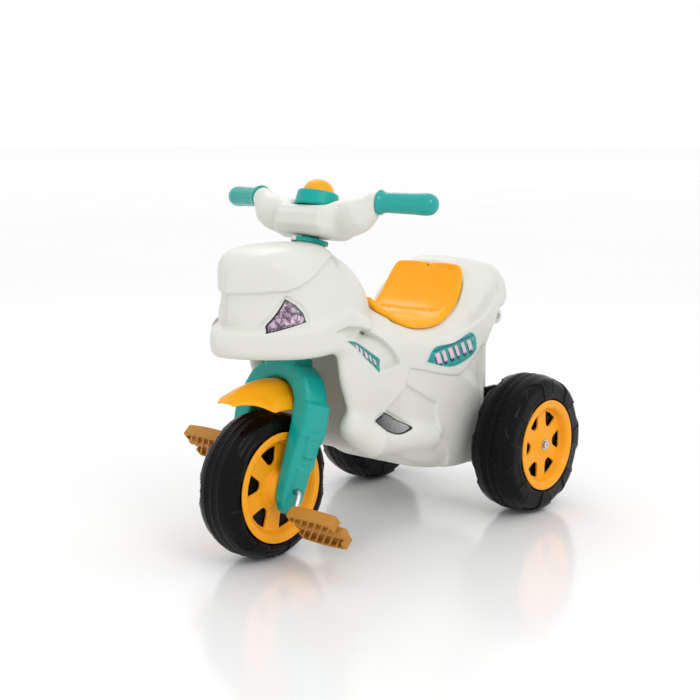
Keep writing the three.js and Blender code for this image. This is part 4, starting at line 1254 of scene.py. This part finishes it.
def lamp_label_material():
    material, tree, shader, where = film_material("lamp_print")
    along, ring = attribute_value(tree, "along"), attribute_value(tree, "ring")
    base = ramp(tree, noise(tree, where, 95.0, 3.0, 0.7),
                [(0.32, linear((52, 44, 62))), (0.44, linear((118, 96, 116))),
                 (0.55, linear((196, 170, 186))),
                 (0.66, linear((226, 214, 222)))])
    facets = add(tree, "ShaderNodeTexVoronoi", feature="DISTANCE_TO_EDGE")
    facets.inputs["Scale"].default_value = 85.0
    tree.links.new(where, facets.inputs["Vector"])
    edges = spread(tree, facets.outputs["Distance"], 0.75, 0.0, 0.02, 0.09)
    color = layered(tree, base, (edges, linear((44, 36, 56))),
                    (between(tree, along, 0.86, 2.0, 0.03), linear((22, 120, 118))),
                    (between(tree, ring, 0.9, 2.0, 0.015), linear((34, 30, 40))))
    tree.links.new(color, shader.inputs["Base Color"])
    return material


def label_patch(name, node, side, corners, centre, start, end, inner_x, material, slot):
    """A thin film on the body's skin, gridded from its centre outwards and pressed onto the surface."""
    loop = spaced_along(np.vstack([corners, corners[:1]]).astype(float),
                        145)[:-1] if len(corners) > 6 else None
    if loop is None:
        corners = np.array(corners, float)
        fine = [a + (b - a) * t for a,
                b in zip(corners, np.roll(corners, -1, 0)) for t in np.arange(30) / 30]
        loop = np.array(fine)
    rings = np.linspace(0.02, 1, 26)
    flat = np.array(centre) + rings[:, None, None] * (loop - np.array(centre))[None]
    tree = BVHTree.FromObject(BODY, bpy.context.evaluated_depsgraph_get())
    points = []
    for y, z in flat.reshape(-1, 2):
        origin = in_layout((side * 160, y, z))
        hit, normal, _, _ = tree.ray_cast(Vector(origin), Vector((-side, 0, 0)), (160 - inner_x) * MM)
        point = Vector(in_layout((side * inner_x, y, z))) if hit is None else hit + normal * 0.0004
        points.append(tuple(point))
    obj = mesh_object(name, points, grid_faces(len(rings), len(loop), False, True, flip=side < 0))
    direction = np.array(end, float) - np.array(start, float)
    length = np.linalg.norm(direction)
    direction /= length
    offset = flat.reshape(-1, 2) - np.array(start, float)
    height = offset @ np.array([-direction[1], direction[0]])
    store(obj, "along", offset @ direction / length)
    store(obj, "across", (height - height.min()) / (height.max() - height.min()))
    store(obj, "ring", np.repeat(rings, len(loop)))
    dress(obj, material, "body", slot, node)


def make_labels():
    flank = stripe_label_material("flank_print", 7, 0.34, 0.66)
    tail = stripe_label_material("tail_print", 8, 0.34, 0.74)
    vent, lamp = mesh_label_material(), lamp_label_material()
    for side, word in ((1, "left"), (-1, "right")):
        label_patch(f"flank_film_{word}", f"flank_label_{word}", side,
                    [(70, 344), (96, 339), (119, 328), (144, 314), (166, 300), (160, 290), (154, 281),
                     (138, 294),
                     (120, 308), (96, 328)], (136, 307), (76, 340), (160, 290), 70, flank, "teal_label")
        label_patch(f"tail_film_{word}", f"tail_label_{word}", side,
                    [(270, 282), (293, 304), (350, 306), (406, 317), (421, 285), (380, 268), (334, 265)],
                    (350, 287), (272, 283), (418, 300), 70, tail, "teal_label")
        label_patch(f"vent_film_{word}", f"vent_label_{word}", side,
                    [(149, 203), (165, 208), (182, 211), (200, 203), (215, 194), (242, 178), (222, 174),
                     (195, 175),
                     (170, 184)], (192, 191), (150, 196), (240, 188), 70, vent, "dark_label")
        label_patch(f"headlight_film_{word}", f"headlight_label_{word}", side,
                    [(-14, 412), (-3, 402), (4, 390), (6, 377), (-50, 363)], (-10, 385), (-46, 366),
                    (8, 396), 18, lamp,
                    "dark_label")


make_labels()


# the rear axle is a plain rod in the CAD too, so its own node stays in the scene
axle = frame["nodes"]["rear_axle"]
axle.data.materials.clear()
axle.data.materials.append(STEEL)


# ---------------------------------------------------------------- stage
def make_stage():
    size = 30.0
    floor = mesh_object("floor", [(-size, -size, 0), (size, -size, 0), (size, size, 0), (-size, size, 0)],
                        [(0, 1, 2, 3)], smooth=False)
    material, tree, shader = new_material("studio_floor")
    where = object_position(tree)
    tree.links.new(ramp(tree, noise(tree, where, 0.6, 2.0), [(0.3, (0.90, 0.90, 0.90)),
                                                             (0.7, (0.93, 0.93, 0.93))]),
                   shader.inputs["Base Color"])
    shader.inputs["Roughness"].default_value = 0.16
    floor.data.materials.append(material)


def area_light(name, place, target, size, power, color=(1, 1, 1)):
    data = bpy.data.lights.new(name, "AREA")
    data.shape = "DISK"
    data.size = size
    data.energy = power
    data.color = color
    light = bpy.data.objects.new(name, data)
    bpy.context.scene.collection.objects.link(light)
    light.location = place
    direction = Vector(target) - Vector(place)
    light.rotation_euler = direction.to_track_quat("-Z", "Y").to_euler()
    return light


def make_lights():
    world = bpy.data.worlds.new("studio")
    bpy.context.scene.world = world
    world.use_nodes = True
    bpy.context.scene.view_settings.view_transform = "Standard"
    background = world.node_tree.nodes["Background"]
    background.inputs["Color"].default_value = (1.0, 1.0, 1.0, 1)
    background.inputs["Strength"].default_value = 1.0
    area_light("key", (2.2, -0.9, 2.2), (0, 0, 0.25), 1.1, 15)
    area_light("rim", (-1.6, 1.2, 2.4), (0, 0, 0.3), 1.4, 9)


make_stage()
make_lights()
